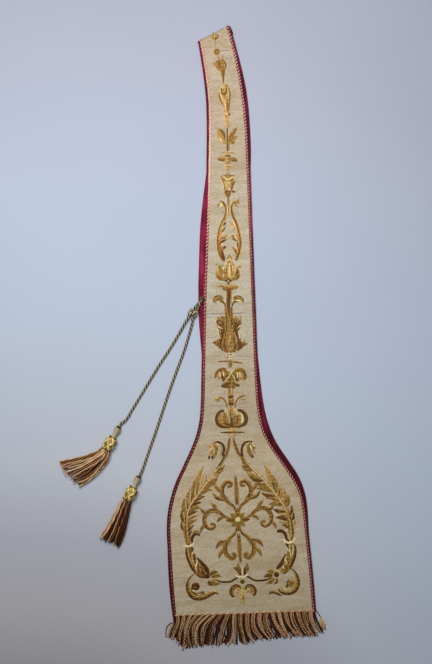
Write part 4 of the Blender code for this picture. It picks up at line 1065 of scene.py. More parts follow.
    "urn": """
gold -18 327.4 2, -3 326.4 4.6, 11 326.6 2
brown -27 321 2, -5 320 4.6, 17 319 2
gold -15 315.5 2, -6 314.5 5, 3 315 2
gold -12 323 5, -6 323 6.5, 0 323 5
brown -5.4 352 2, -5 344 5, -4.6 337 8, -5.4 331.5 9, -6 328.6 4
tan -25.5 355.5 4, -26.5 348 10, -24.5 340.5 10, -19.5 335 6, -15 332.5 2
ochre -17 356 3, -17.4 348.5 11, -15.5 340 12, -12 333 7, -9 330 3
brown+ -21 339.5 2, -17 337 5.5, -12 335 4.5, -9 333 2
tan+ -27.4 353.5 1.2, -23.4 356.2 2, -18.4 355.8 1.6, -14 352 1.2
gold+ -26.4 342 1.2, -22.8 337.4 2, -19.6 334.6 1.4
ochre 1.5 353 3, 2 346 10, 2.4 339 11, 1 332 5
tan 8 356.5 2.4, 9.6 350 8, 9.6 342 9, 7 335 6, 5 331.5 2
pale 12.4 353 1.6, 13.6 347 4.6, 13.4 340.5 5, 11 335 2.2
pale+ 2.6 349.5 1.2, 5.4 353.4 1.8, 9 353.6 2, 11.4 350.5 1.6
brown+ 4.6 351 1.2, 5.6 345 3, 4.6 338 3.2, 1.5 333.5 1.6
tan+ 0.8 347 1.2, 1.6 341 1.8, 0 335.5 1.2
tan -6 366 5, -6 360.5 11, -6.4 355 14, -6.6 350 10, -6.8 346 4
pale+ -11.6 359 1.2, -12.6 355.4 2, -10.6 351 1.4
brown+ -6.4 361 1.6, -6.8 353 2.8, -7 345.5 2.6, -7.2 338 1.8
dark -16.6 359.8 2.6, -22.5 359.4 5.2, -29.2 354 6.6, -32 344.5 7, -30 336 7, -24.2 331.6 5.6, -15 329.8 4.4, \
-8 328.8 2
dark 5 359.6 2.6, 11 358.6 5.4, 17.4 353.4 6.8, 20.4 344.5 7.4, 18.8 336 7, 12.6 331.4 5.6, 3 329.6 4.4, \
-4 328.8 2
brown+ -25.5 356.8 1.2, -29.6 351 1.8, -30.6 344 1.8, -28.4 337.4 1.2
brown+ 14.4 355.6 1.2, 18.4 350.4 2, 19 344 2, 17 337.6 1.2
dark+ -7 329 6, -7 333.5 4, -6.9 338 2.4, -7 343 1.4
pale+ 0 360.5 1.2, 3.4 358.5 3.2, 5.6 354 1.2
pale+ -13.5 362 1.2, -16 360.6 2.4, -15.6 357 1.2
ochre -12.4 364 2, -13.4 372 2.8, -16.2 378.4 3.2, -20.6 382.4 3.2, -26 385 3.4
tan -28.4 380.5 5.2
ochre+ -30.6 378 1.2, -28.4 380.6 2.2, -26.2 378 1.2
ochre 1.4 364 2, 3.6 373.5 3, 8 380 3.4, 13.6 383.6 3.6, 21 384.8 3
tan+ 11.4 379 1.2, 15.5 379.4 2.4, 22 376.6 1.6
""",
    "urn_stem": """
tan -5 365.5 6, -5 376 9.6, -4.9 388 9.4, -4.7 397 9, -4.6 404 7
gold+ -9.2 367 1.2, -9.5 377 2, -9.2 388 2, -8.4 400 1.4
gold+ -0.8 367 1.2, -0.5 377 2, -0.7 388 2, -1.4 400 1.4
dark+ -10 371.6 5.8, -4.9 371.6 6.2, 0 371.6 5.8
ochre+ -10 377.8 5.6, -4.9 377.8 6, 0 377.8 5.6
dark+ -10 384 5.8, -4.9 384 6.2, 0 384 5.8
ochre+ -6.4 389 1.4, -6.8 394 3, -6 402 1.8
pale+ -3.4 389.5 1.2, -3.2 395 2.2, -3.4 402 1.4
""",
    "twin_curls": """
ochre -5 395 5, -4.8 402 13, -4.6 409.5 19, -4.2 417 14, -3.4 426 4
brown -8 428 -19 412.5 13 0.06
brown 2.4 427.5 11 411 13 -0.06
tan -10 428 6, -16.5 425 11, -22.5 420.5 9, -25.5 416 3
tan 4.5 427 6, 9.5 422.5 11, 14.5 417.5 9, 17 412.5 3
ochre -2.6 416 4, -6.8 425 8.5, -12.4 431.4 9.4, -19.6 432.6 8.4, -26 429 6.6, -30 423 4.6, -31 418 2.4
ochre -3.6 416 4, 1.4 425 8.5, 8 431.2 9.4, 15 431 9.6, 20.6 426 9, 22.8 418.5 6.4, 22.4 412.6 2.4
brown+ -9 430.4 1.4, -15 434.6 2.6, -22 434.4 2.6, -28.6 429.4 2.6, -31 422.5 1.4
brown+ 13 434.4 1.4, 19.4 431 3, 23 424.4 3.4, 23.6 416.6 1.8
dark+ -15.6 421.5 1.6, -18 418.5 4.6, -19 424 2.4, -19.4 428 1
pale+ -22.6 429.6 -21 419.5 3.2 0
pale+ -16.6 430 -15.8 420.5 3.2 0.06
tan+ -12 428.5 -12.4 417.5 3.4 0
tan+ -26 427.5 -26.4 419.5 3 0
brown+ -8 399 1.2, -5.5 407 3.4, -5 415 3.4, -4.2 421 1.2
pale+ 0.2 423.5 5 412.6 2.6 0.06
pale+ 8.6 427.5 7.8 415.5 2.8 0.08
pale+ 13.6 428.5 13 416.5 3 0.05
dark+ 5.2 424 7 413 2.6 0
gold+ 16.6 422 17.6 411.5 2.8 0
ochre+ 19 420 20.4 412 2.4 0
pale+ 5.4 434.6 1.2, -1.4 427 2, -7.4 419.4 2.2, -15.6 411.4 1.2
pale+ -9.6 434.4 1.2, -5.6 430 1.8, -2 426 1.6
dark -6 410 -22 404 11 0.1
brown -5 405 -12 397 7 0.1
tan+ -12 410 -19 406.5 2 0
ochre+ -10 405 -19 402.5 2 0
brown -1 410 13 403.5 9 -0.1
tan+ 2 409 12.5 405 2 0
tan+ 1 405 9.5 400.5 2 0
brown -2 404 4 396.5 6 -0.1
tan -4.6 396.5 4.4
pale+ 0 400 5 393.5 2 0
pale+ -9 400 -13.5 394 2 0
""",
    "bar": """
ochre -3.2 436 7, -2.8 442 7, -2.4 449.5 9
ochre -25 448.4 2.6, -15 448.2 3.2, -3 447.4 4, 6 446 3.6, 13 444.6 3.6, 20 443.8 3
tan+ -9 448 2, -2.6 447 4, 4 446.2 2
pale -3.2 462 2.9
dark -5 459 1.7
dark -0.8 459.6 1.7
pale -3.6 456.6 2.6
brown -6 455 1.7
pale -3 452.4 2.6
brown -3 450.4 1.5
""",
    "vase": """
brown -8 464 -32 483 17 -0.22
dark -7 463.6 -24.5 481 13 -0.24
dark -15 467 -20 490 10 -0.06
ochre+ -21 473 -32.4 482.5 3.4 -0.1
tan+ -22 479 -30 486 2.4 0
ochre+ -19 478 -23.5 488.5 3 0
dark 5 463.6 24.5 479 14 0.24
brown 12 466 30 477.5 11 0.2
dark 12 467 17.5 488 9 0.06
ochre+ 20 473 29.6 476.5 3.2 0.1
tan+ 19.5 478 26.5 484.5 2.6 0
ochre+ 16.6 480 19 488.5 2.8 0
dark -18 481 5, -14.8 490 7, -13 499 7.4, -12 508 8.5, -11.4 517 9, -10.4 525 6, -9.8 530 2
brown -12.5 503 -22.5 524 9 0.06
dark -13 505 -23 519 7 0.1
ochre -14 514 -21 529 8 0
ochre -12.5 516 -14.5 531 6 0
tan+ -10.4 517 -9.6 530 2.6 0
brown+ -14 517 -18 526 2.6 0
pale+ -12 506.5 -23.5 516.5 3.2 0.14
pale -17.4 487 1.4, -20 495 2.4, -21.6 503 2.4, -21.4 510 1.2
ochre -15.5 491 -19 507 5 0.1
dark 15 482 3.4, 13.2 491 5, 11.4 500 6, 10.2 509 7.6, 9.6 517 8, 9.4 524 4
brown 10.5 504 20 524 9.5 -0.06
dark 10 505 15 517 7 0
ochre 10 515 11.5 528 6.4 0
tan 14.5 512 20.4 529 5.6 -0.1
ochre+ 13 519 16.4 527 2.8 0
dark+ 12 500 19 508.5 4.6 0.1
pale+ 12.5 505.5 20.4 513.5 2.8 -0.1
pale 15.6 486 1.2, 16.4 494 2.2, 14.4 502 1.4
ochre -2.6 463 12, -2.4 468 25, -1.8 476.5 28.6, -1.4 487 24.5, -1 497 20.5, -0.8 509 16.4, -0.4 523 13.6, \
0 538 12.6, 0.2 547 9
tan+ -9 464.6 1.6, -14 470 2.6, -15 477.6 2.6, -13 487 2, -10.6 497 1.2
tan+ 5 464.6 1.6, 10.2 470 2.8, 11.6 478 2.2, 10 487 1.4
tan+ -9.4 470 2.4, -2.6 468 7, 5 470 3
ochre+ -8 466 2, -2 465 5, 4 466 2
gold+ -3.6 476 2.4, -2 483 5.6, -0.4 491 5, 0.4 496 2
pale+ -3.6 482.4 1.4, -1.4 487 3.2, 0.2 491 1.4
brown+ 5 478 1.4, 7.2 485.5 3.4, 6.2 493 1.6
brown+ -10.4 477 1.4, -10.6 484.5 2.6, -8.6 492 1.6
tan+ -6.4 479 1.2, -6.6 487 2, -5.4 495 1.4
brown+ -9.4 493 2, -7.2 501 3, -6 512 2.8, -5.2 528 2.4, -5.2 544 2
ochre+ -3.4 502 2, -3.4 514 3.4, -3 526 2.6
gold+ -8.6 498 1, -8.2 512 1.6, -7.4 530 1.6, -7.4 546 1
tan+ -1.4 497 1.4, -0.2 507 2.4, -0.2 520 2.2, 0 528 1
brown+ 2.8 505 1.6, 3.2 515 2.8, 3 526 1.6
tan+ 4.6 498 1.2, 3.4 503 1.8, 5.6 512 1.6, 6.6 523 1
brown+ 7 497 1.6, 6.6 508 2.2, 5.4 520 2.2, 5 534 2.2, 5.8 546 2
gold+ 7.6 512 1, 7 526 1.5, 7 543 1.2
dark+ 0.2 528 2, 0 536 4, -0.2 546 5.4, 0.6 557 6.4, 1.6 567 6.8, 1.8 577 7
tan+ -3.6 548 1.2, -3 558 1.7, -2.4 568 1.7, -2 576 1.2
tan+ 4 548 1.2, 5 558 1.7, 5.8 568 1.7, 6 576 1.2
brown -4.6 544 2, -7 551 3.4, -11 555.6 4.2, -16 556.8 3
ochre -9 557 2.4, -14 560.6 6, -20.5 561 8, -24.8 557.6 6.4, -26 553.6 2.4
brown+ -7.6 560.8 1.4, -12.4 565 2.4, -19 566.4 2.4, -25.4 562.6 2.4, -27.6 557 1.4
brown+ -12 559 1.2, -17 562 1.8, -22 560.5 1.2
tan+ -23 556 1.4, -25.6 554.6 2.4, -21 554 1.2
brown 6 545 2, 8 551 3.4, 13 554.6 4, 17 554.6 2
ochre 8.6 557 2, 14 560 5.6, 20 559.4 7.4, 24.6 555.4 5.4, 26 551.4 2
brown+ 8.6 560.6 1.4, 14.4 564 2.2, 21.2 563.4 2.2, 26 558.6 2.2, 27 552 1.2
pale+ 11 556 1.2, 16 556.4 2.8, 22 554.6 3, 25.4 551.6 1.4
""",
    "bracket": """
tan -17 583.4 2.6, -9 583.2 4.4, 2.5 582.4 5, 12 582.2 4.6, 20.5 580.6 3
ochre -10 579.4 3, -4 578.4 6, 3 577.4 8.5, 9.5 578.6 6.5, 18.5 578.8 3
brown -4.6 577.6 3.2
brown+ 0.5 576 2.4, 3.2 577.4 4.4, 7 577 2.4
tan+ -8 582.6 1, 3 581.4 1.8, 14 581.6 1
brown+ -16 583 1.2, -11 583.4 2.2, -6 582.6 1.2
""",
    "lotus": """
ochre 0 593.6 3, -7.5 595.8 8, -13.6 600.6 12, -14.6 609 11, -13 616 8, -12.4 620.6 4
tan -9 618.5 2.4, -14.4 621.6 4.6, -18.6 622 3.4, -19.4 619.6 1.6
ochre 5 593.2 3, 12 595.4 8, 17.8 600.4 12, 18.6 608 9.6, 18.8 613.6 6.6
tan 17.6 612.6 2.4, 20.5 616.4 4, 25 616.6 4, 27.4 614 1.8
brown+ -9 596 -16.5 605 4 0.2
gold+ -12 600 -15.5 617 4.6 0.1
pale+ -16.6 608 -16 617 2.8 0
brown+ 14 594.6 21 601 4 -0.2
brown+ 15 600 19.5 613 5 -0.1
gold+ 10.6 597 13.5 604 4 0
ochre -1 596 4, -5.4 603.6 9, -6 611.4 8, -6.6 618 4.4, -6.8 622 1.6
pale+ -5 599 -6.6 609 2.6 0.14
pale+ -5.6 611.5 -6.4 619.5 4 0
brown+ -8 603 -9 610 2.6 0
gold 6.4 596 4, 11 603.6 9, 12 611.6 8, 13 618 5.4, 13.4 624 1.6
ochre+ 11.5 602 13 613 3.4 0
pale+ 14.5 606 15.4 613 2.4 0
gold 3.2 594.5 4, 3.4 603 11, 4 612 14.5, 5 621 12, 6 630 8, 6.4 638 1.6
ochre+ 0.4 598 1.6, -0.4 607 3.4, 0.6 617 3.4, 3 626 1.4
pale+ 3.4 598 1.6, 4.4 607 2.8, 5.4 616.5 3, 6 622 1.4
ochre+ 7.4 600 1.4, 8.6 609 3.2, 8.6 618 2.8, 8 625 1.4
brown+ 2.2 622 1.2, 5.4 628 2.2, 8.8 622.5 1.2
brown+ 1 632 1.2, 4 634.6 1.8, 6.4 637.4 2.2, 8.6 634.8 1.8, 10.6 631 1.2
pale+ 4.6 631.5 1.2, 6.4 633.6 1.8, 8 631 1.2
brown+ 11.5 620 11.8 626 2.4 0
pale+ 13 623 2
dark+ -1.2 592.6 2.7
dark+ 5.4 592 2.7
dark+ 2.2 596 2.5
dark+ 1.8 590 4.6, 1.9 587 4.6, 2 585.6 3
pale+ 2.2 592.2 1.7
""",
    "lyre": """
tan 6.8 728 3, 6 718 4.6, 2.6 706.5 5.6, -3 696 8, -7.6 685.5 9, -10 673 9.4, -11 660 9.4, -10.6 648 10, \
-8.4 638.6 9, -5.6 631 6.5, -3.6 627.5 2.6
brown+ 4.6 726 1.6, 4 716 2.8, 1 706 3, -4.5 696 3, -9.4 685 2.8, -12.4 672 2.8, -13 660 3.4, -12.6 648 4, \
-9.8 637.5 4, -6 630 3
gold+ 0 700 1.6, -4 692.5 3.6, -7 684.5 3, -8.8 677 1.4
dark+ -9.6 664 1.4, -9 656 2.8, -10 650 1.4
dark+ -6.6 648 2, -6 640 6.4, -4.8 632.5 6.4, -3.6 627.8 2.6
ochre+ -9.8 650 1.4, -9 643.5 3, -8 637 1.4
tan 12.8 728 3, 13.8 718 4.8, 17.6 706.5 6.8, 21 695 7.6, 24.2 683.5 7.6, 26 671 8, 26 658.5 9, 23.4 646 9.4, \
19.8 636 8, 17.2 627.6 4.4
brown+ 15.4 728 1.4, 14.6 719 3.4, 16.6 708 4, 20.6 697 4.4, 24.2 685 3.4, 26.6 671 3.4, 26.8 658 4, 24.4 646 4, \
20.6 635 5, 17.6 627.5 3.4
pale+ 16 702 1.2, 18.4 694 2.8, 20.5 685.5 2.8, 20.6 678 1.2
dark+ 22 661 1.4, 22.2 656 3, 21.6 650 1.4
bg -8.6 679 3.5 697 9 0.14
brown+ -7.4 679.5 2.6 690.5 3 -0.1
dark+ -1.5 692 3.5 697.5 4 0
gold -11.5 667.5 4.4 675 12.5 0.06
ochre+ -9 669 2.6 670 5 0
dark+ -10 658.5 3.5 667 4.6 0.06
pale+ -8 654.5 -1 661 5 0.1
ochre -10.5 645 0.5 655 7.5 0.06
dark+ -3.5 650.5 1.4 654.5 4.4 0
bg 21 679.5 15.5 693.5 4.5 -0.1
gold 18 688 11 697.5 7.5 -0.1
ochre 24.5 664.5 11 672 11.5 -0.1
brown+ 22 663.5 12 667.5 3 0
pale+ 22.6 664 17 672 3 0
pale+ 21.6 668 15.5 676 3 0
ochre 19.4 640 13 653.5 6.5 -0.08
pale+ 20 648 15.6 655 2.8 0
dark+ 18.6 640 17.6 648.5 3 0
brown 4.4 723 2.4, 2.6 729 4.2, -0.6 733.4 4.2, -2.6 736 2
pale -1.8 732.5 -5 724 6 0
ochre -6.5 732 -10 726 5 0
brown -4 733.5 -5 737.5 3 0
pale+ -4 726 -8 724 2.6 0
ochre 14.4 723 2.4, 16.4 728.4 4.2, 20.4 732.4 4.4, 26 733 5, 29 729.5 2.4
ochre 22.5 731 23.6 725 5 0
ochre 26.5 733 28 738 4 0
ochre 9.6 742.5 3.4, 9.6 732 4, 9.6 723 4.4, 9.4 714 2
pale+ 7.6 727 1, 7.4 719 1.8, 7.6 710 1
pale+ 11.6 727 1, 11.4 719 1.6, 11.4 711 1
""",
    "tulip": """
brown 9.8 740.5 3.4, 9.8 745 8.5, 9.6 750 11.5, 8.8 754.5 9.5
brown 16.5 752.5 24 750.5 4.6 0
dark+ 4 750 2.4, 6.6 753 3.6, 10 755.4 2.4
dark+ 10.6 753.5 1.6, 14 752.6 3, 15.6 751 1.4
tan 11 754 9, 11 761 13, 11.4 768.5 19, 11.6 775 23.5, 11.4 780.4 21
gold+ 9 757 2, 9.6 764 5.4, 10.4 771 5.6, 10.6 775 2
pale+ 10.6 753.8 2, 12.6 756.4 4.6, 13.4 759.4 1.6
pale+ 10 765 1.4, 12.4 767.5 4.4, 13.6 770.4 1.4
brown+ 16.6 753 1.8, 17.6 760 4.4, 20 767 5.6, 23.4 771.4 3
brown+ 15.4 768 1.4, 18 772.6 4, 20.6 776 1.4
ochre 4.4 754.5 2, 4.8 761 3.2, 3 768.5 3.4, 0.6 774.6 4, -0.8 780 2.4
pale+ 2.4 757 1, 2.2 764 2.2, -0.6 770.6 2.2, -2.4 777.6 1.2
dark+ 1.6 777 1.2, 4 774.6 3, 6.2 771.6 1.2
pale+ 3.4 779 1.4, 7 775.8 2.6, 11.4 774.2 3, 16 775.6 2.6, 20.6 778.6 1.4
ochre+ 6 780.6 2, 11.6 778.8 5.4, 17.4 780.6 2
brown+ 0.6 781 1.2, 6 781.2 2, 11.6 782.4 2.4, 17 781.2 2, 23 780 1.2
tan 9 784.5 2, 12 786.6 3.4, 15.4 787.6 1.6
tan 7.6 790.4 1.6, 11 791.4 3.4, 15 793.4 1.6
""",
    "crossbar": """
gold 12 792 5, 12.4 796.6 11, 12.6 801.6 16
ochre+ 8 797 1.4, 12.6 797.4 2.6, 18 796 1.4
ochre 12.4 801.5 10, 12.7 809.5 12, 13 817.6 10.6
td -5.6 811.4 3, 0 810.8 7.2, 7.4 809.8 7.6
dt 30.4 806.4 5.4, 25 808.8 7.4, 18.4 809.8 7.6
gold+ 9.8 803 1.6, 11.4 809.4 4.4, 11.8 814.6 1.6
dark+ 8 816.8 2, 13 816.6 3.4, 18 816.8 2
dark+ 17.4 812.4 1.4, 23.6 811.2 2.6, 29.6 808 1.4
brown+ line 2.6 808.4 2, 5.4 808 2.4
tan -0.6 818.4 1, 3 816.4 1.8, 6 815.6 1
tan 2 822.4 1.6, 12.6 822 3.4, 21 821.6 3, 28 819.4 1.6
pale+ -2.4 806 1, 2.4 804.6 2, 6.4 803.6 1
""",
    "wings": """
brown 13.6 824.4 3.6, 13.6 834 4.2, 13.8 842 4, 14.2 853 3.4, 14.6 867 3
dark+ 13.6 825 1.4, 13.6 831 2.6, 13.8 837.5 1.4
tan+ 16.4 826 1, 17 833 1.8, 16.6 841 1
tan 10 838 -2.4 867 14 0.04
brown 8.6 846 -1.6 866.5 7 -0.16
pale+ 5 842.5 0.5 851 4 0.1
brown+ 8 843 5.5 858 2.6 -0.14
ochre 17.6 839 32.6 866.5 9.5 0.08
ochre 18 840 27.5 841 7.6 -0.06
ochre 20.5 845 31.8 851.5 7 -0.1
brown+ 17 843 28 860 2.8 0.1
gold+ 22 845 28 843 2.4 0
""",
    "pod": """
gold 14.2 866 4.6, 14.6 872 8, 15 882 9.6, 15.2 892 10, 14.8 902 10.4, 14.2 912 13, 13.2 922 17, 13.6 932 18.5, \
15.4 940 13, 16.4 945.6 4.6
ochre 21.8 938.6 2.4, 22.4 929 4.2, 21.4 914 3.6, 19.6 901 2.6, 19 892 1.6
ochre 3.4 931 1.8, 4.6 922 3.8, 7.6 913 3.4, 10 905 1.6
pale+ 5.6 931 1.2, 7.6 922 2.6, 10 913 1.4
brown+ 8.2 938.8 2.4, 8.6 931 4, 12.2 926.6 6.4, 16 930.4 4.6, 17.6 938.4 2.6
gold+ 13.2 931 1.8, 14.6 936.6 3.6, 15.2 941 1.6
brown+ 11.4 937 1.4, 11.6 934.6 2.2, 11.4 932.6 1.2
ochre+ 14 943.6 1.4, 17.6 943 2.4, 20 938.6 1.4
pale+ 13.6 919 1.4, 13.8 908 3, 14 898.6 1.4
ochre+ 17.4 921 1.4, 17.6 909 3.8, 17 897 2
pale+ 19.6 936 1, 20.4 927 1.8, 19.6 918 1
brown+ 19.6 894 18.4 887 3.6 0.1
pale+ 12.6 892.5 18 889.5 3.4 0
brown+ 12 888.6 16 886.6 2.4 0
brown+ 11.8 884 16.4 881.6 2.2 0
pale+ 12 880.6 17.5 884 2.6 0
brown+ 12.4 877.6 17.6 875.6 2.4 0
pale+ 12.4 873.8 17 878.5 2.4 0
brown 10.8 869 19 868.4 3.4 0
tan 17 871 23 873.5 2.4 0
""",
    "bud": """
ochre 12.4 945.5 2.2, 12.6 954 3.8, 12.4 963 7, 12 970.6 10.5, 8.4 976 15, 7 981.6 17.5, 7 986 15, 7 989 6
brown+ 12.4 950 1.4, 12.6 959 2.8, 12.8 967 4.4, 13.6 973 2
tan+ 2.4 973 2.4, 1.6 978.6 4.6, 1.4 984 3
brown+ 6.4 976 1.6, 7.4 981.6 4.4, 7 986.6 2
tan -0.5 980 -5.4 985.4 4 0
tan+ 10.6 974 1.8, 11.6 980.6 3.6, 12 987 1.8
brown 17 973 1.6, 18.2 978 3.4, 16.6 985 2.4, 14.4 989 1.4
ochre 12.6 986 12.6 990.4 5 0
tan 13 991 14 998 3 0
brown+ 1 984 2.6 988 3 0
tan 6.4 988 3, 6.2 994 3.4, 5 999 2.4
ochre 3.4 1003.6 5.8
brown+ 0 1007 1.4, 4 1007.6 3, 8 1006.8 1.4
ochre+ -1 1002 1.4, 2.6 1000.6 3.4, 7 1000 1.4
gold+ 2 1003.6 1.2, 5 1004 2.4, 8 1003.8 1
tan 0.8 1013 1.2, 1.2 1019 2.2, 1.6 1026 2.2
tan 1.8 1025.5 -4.4 1033 3.6 0.15
ochre 1.6 1027 0.4 1040 3.4 0.2
ochre 2.4 1026 6.8 1036 3.6 -0.2
tan+ 2.2 1028 4.4 1040 2.6 0
brown+ 1.8 1024.6 4 1029.5 3 0
gold+ 0.4 1028 -2.4 1037 2 0
""",
}

# Scrolls of the middle ornament, as on one side of the axis, with places measured from it.
PAIRED = """
go 3 176 2.5, 6 186 5, 15 194 7, 24 204 8.5, 26.5 216 9, 22.5 227 8.5, 14 232.5 7.5, 8 228 6, 9.5 221.5 3
go 14 165 2.5, 24 169.5 5.5, 34 178 7.5, 45 181.5 8.5, 55 176.5 8.5, 60 165.5 8.5, 57 154 7.5, 48 149 6.5, \
42 154 5, 44 160 2.5
og 3 150 2.5, 6 140 5, 15 132 7, 24 122 8.5, 26.5 110 9, 22.5 99 8.5, 14 93.5 7.5, 8 98 6, 9.5 104.5 3
ochre 12 194 31 199 7 0.16
og 22 201 43 214 8 -0.16
ochre 26 214 39 232 7.5 -0.12
ochre 12 132 31 127 7 -0.16
go 22 125 43 112 8 0.16
ochre 26 112 39 94 7.5 0.12
ochre 37 180 48 196 8 0.12
og 52 179 66 187 7 -0.16
ochre 59 158 68 142 7 0.12
go 26 168 38 160 6 0.12
go 2.2 188 1.5 243 7 0.02
og 2.2 138 1.5 83 7 -0.02
tan+ 14 196 24 211 2.2 0.1
tan+ 14 130 24 115 2.2 -0.1
tan+ 30 177 50 179.5 2.2 0.1
ochre 12.5 224 3.6
ochre 12.5 102 3.6
ochre 46.5 157.5 3.4
"""

RELIEF = 0.85
SUNK = 0.3
OVERLAID = 0.42
ROW_STEP = 0.004
STITCH_CLEAR = 0.12
ROSETTE_LEVEL = 163.0
PROFILE = np.array((-1.0, -0.88, -0.62, -0.3, 0.0, 0.3, 0.62, 0.88, 1.0))


def add_stroke(build, tones, points, raised=0.0):
    """Satin stitch along a smooth line, crowned across and drawn down at both sides."""
    line = route(points, 1.6)
    rng = np.random.default_rng(len(points) * 7 + int(abs(points[0][0]) * 10) + int(abs(points[-1][1])))
    ahead = unit(np.gradient(line[:, :2], axis=0))
    beside = np.stack([-ahead[:, 1], ahead[:, 0]], -1)
    half = line[:, 2] / 2.0
    half[[0, -1]] = np.minimum(half[[0, -1]], 0.5)
    place = line[:, None, :2] + beside[:, None] * (half[:, None] * PROFILE)[..., None]
    x, y = place[..., 0], place[..., 1]
    crown = np.minimum(RELIEF, 0.34 + 0.09 * line[:, 2])[:, None] * (1.0 - np.abs(PROFILE) ** 2.4)
    sunk = (SUNK + raised) * (np.abs(PROFILE) > 0.95)
    height = FACE_TOP + rise(x, y) + bumps(x, y) + STITCH_CLEAR + raised + crown - sunk
    tone = np.interp(PROFILE, (-1.0, -0.55, 0.0, 0.55, 1.0), tones[::-1])[None]
    tone = tone + rng.normal(0.0, 0.045, (len(line), 1)) + 0.14 * ripple(x, y, 71, 6.0)
    # Paler towards the neck, and with no dark thread above the branches.
    tone = tone + 0.12 * ease((y - 430.0) / 300.0) - 0.07 * ease((y - 800.0) / 120.0)
    tone = np.maximum(tone, 0.1 * ease((y - 312.0) / 10.0) + 0.18 * ease((y - 700.0) / 80.0))
    thread = lengths(line[:, :2])[:, None] + 0.35 * half[:, None] * PROFILE
    build.add(lifted(place, height), grid_faces(len(line), len(PROFILE))[:, ::-1], tone, thread)


def leaf_points(ax, ay, bx, by, width, bow):
    run = np.array((bx - ax, by - ay))
    left = np.array((-run[1], run[0])) * bow
    shares = ((0.0, 0.3, 0.0), (0.25, 0.85, 0.75), (0.5, 1.0, 1.0), (0.78, 0.62, 0.6), (1.0, 0.1, 0.0))
    return [(*(np.array((ax, ay)) + run * t + left * share), width * wide) for t, wide, share in shares]


def ball_points(across, up, radius):
    return [(across + radius * t, up, 2.0 * radius * math.sqrt(max(1.0 - t * t, 0.02)))
            for t in (-1.0, -0.85, -0.5, 0.0, 0.5, 0.85, 1.0)]


def row_points(words):
    numbers = [float(word) for word in words if word != "line"]
    if len(words) == 3:
        return ball_points(*numbers)
    if len(words) == 6:
        return leaf_points(*numbers)
    return [tuple(numbers[k:k + 3]) for k in range(0, len(numbers), 3)]


def about_axis(point, side):
    across, up, width = point
    return (side * across + float(smooth(AXIS, "across", up)), up, width)


def stitch(build, text, shift=lambda point, side: point, sides=(1,)):
    """Lay the rows of a text, each moved by shift to the given sides."""
    for number, row in enumerate(text.split("\n")):
        if row:
            tones, *words = row.replace(",", " ").split()
            points = row_points(words)
            raised = OVERLAID * tones.count("+") + ROW_STEP * number
            for side in sides:
                add_stroke(build, TONES[tones.strip("+")][::side], [shift(point, side) for point in points], raised)


def add_rosette(build, across, up):
    """Eight petals round a middle knot, four long and four short."""
    for k in range(8):
        turn = math.tau * k / 8
        reach, width, tones = ((22.0, 11.0, "core"), (17.0, 9.0, "ochre"))[k % 2]
        heading = np.array((math.sin(turn), math.cos(turn)))
        root, tip = (np.array((across, up)) + heading * far for far in (3.5, reach))
        add_stroke(build, TONES[tones], leaf_points(*root, *tip, width, 0.0), 0.1 * (k % 2 == 0))
    add_stroke(build, TONES["pale"], ball_points(across, up, 5.0), OVERLAID)


# Nodes of the solids that each motif stands for. A star is both left and right.
REPLACED = {
    "hem_scrolls": "volute_* hem_scroll_* hem_petal",
    "branches": "branch_* branch_curl_*",
    "arms": "arm_*",
    "rosette": "rosette upper_scroll_* side_scroll_* lower_scroll_*",
    "urn": "urn urn_scroll_*",
    "urn_stem": "urn_stem",
    "twin_curls": "twin_curl_*",
    "bar": "bar",
    "vase": "vase vase_low_leaf_* vase_high_leaf_* vase_stem_*",
    "bracket": "bracket",
    "lotus": "lotus lotus_petal_*",
    "lyre": "lyre_arm_*",
    "tulip": "tulip",
    "crossbar": "crossbar",
    "wings": "wing_*",
    "pod": "pod",
    "bud": "bud",
}


def embroidery(motif, nodes):
    build = Build()
    if motif == "rosette":
        stitch(build, PAIRED, about_axis, (-1, 1))
        add_rosette(build, float(smooth(AXIS, "across", ROSETTE_LEVEL)), ROSETTE_LEVEL)
    else:
        stitch(build, STITCHING[motif])
    replaced = [f"stitch_{node.replace('*', side)}" for node in nodes.split()
                for side in (("left", "right") if "*" in node else ("",))]
    build.piece(f"stitching_{motif}", STITCH, replaced)


for motif, nodes in REPLACED.items():
    embroidery(motif, nodes)


# ---------------------------------------------------------------- tie cord

CORD_SPACING = 5.1
CORD_EXIT = np.array((-46.4, 562.4, 8.1))
KNOT_START = np.array((-57.8, 546.6, 6.6))
KNOT_END = np.array((-69.8, 530.4, 6.0))
KNOT_HEIGHT = 6.4
KNOT_AHEAD = np.append(unit((KNOT_END - KNOT_START)[:2]), 0.0)
KNOT_BESIDE = np.array((-KNOT_AHEAD[1], KNOT_AHEAD[0], 0.0))
# Side of the leg, start and axis of its tassel, and the way between.
LEGS = {
    "a": (-1.0, (-207.5, 341.5), (-0.54, -0.84), (
        (-71.9, 531.9, 6.0), (-75.0, 527.6, 5.8), (-91.0, 503.0, 3.2), (-106.0, 480.5, 2.8),
        (-125.8, 453.5, 2.8), (-145.0, 426.0, 2.8), (-165.0, 396.5, 2.8), (-183.5, 369.5, 2.8),
        (-196.5, 351.5, 4.0),
    )),
    "b": (1.0, (-176.5, 250.5), (-0.51, -0.86), (
        (-65.4, 529.4, 6.0), (-66.4, 523.6, 5.4), (-73.2, 501.0, 3.2), (-84.5, 470.0, 2.8),
        (-99.5, 435.5, 2.8), (-114.8, 399.5, 2.8), (-129.6, 362.0, 2.8), (-145.0, 323.0, 2.8),
        (-160.0, 287.0, 2.8), (-168.5, 266.0, 4.0),
    )),
}
HEAD = table(
    "along radius height",
    (0.0, 3.2, 5.6), (3.0, 5.6, 6.3), (8.0, 6.2, 6.8), (14.0, 4.6, 7.6), (21.0, 4.4, 8.8), (23.0, 7.2, 9.2),
    (28.0, 9.4, 9.9), (34.0, 9.9, 10.3), (40.0, 9.2, 10.0), (45.0, 7.9, 9.4), (47.0, 7.4, 9.1),
)
HEAD_TURNS = np.linspace(0.0, math.tau, 28, endpoint=False)
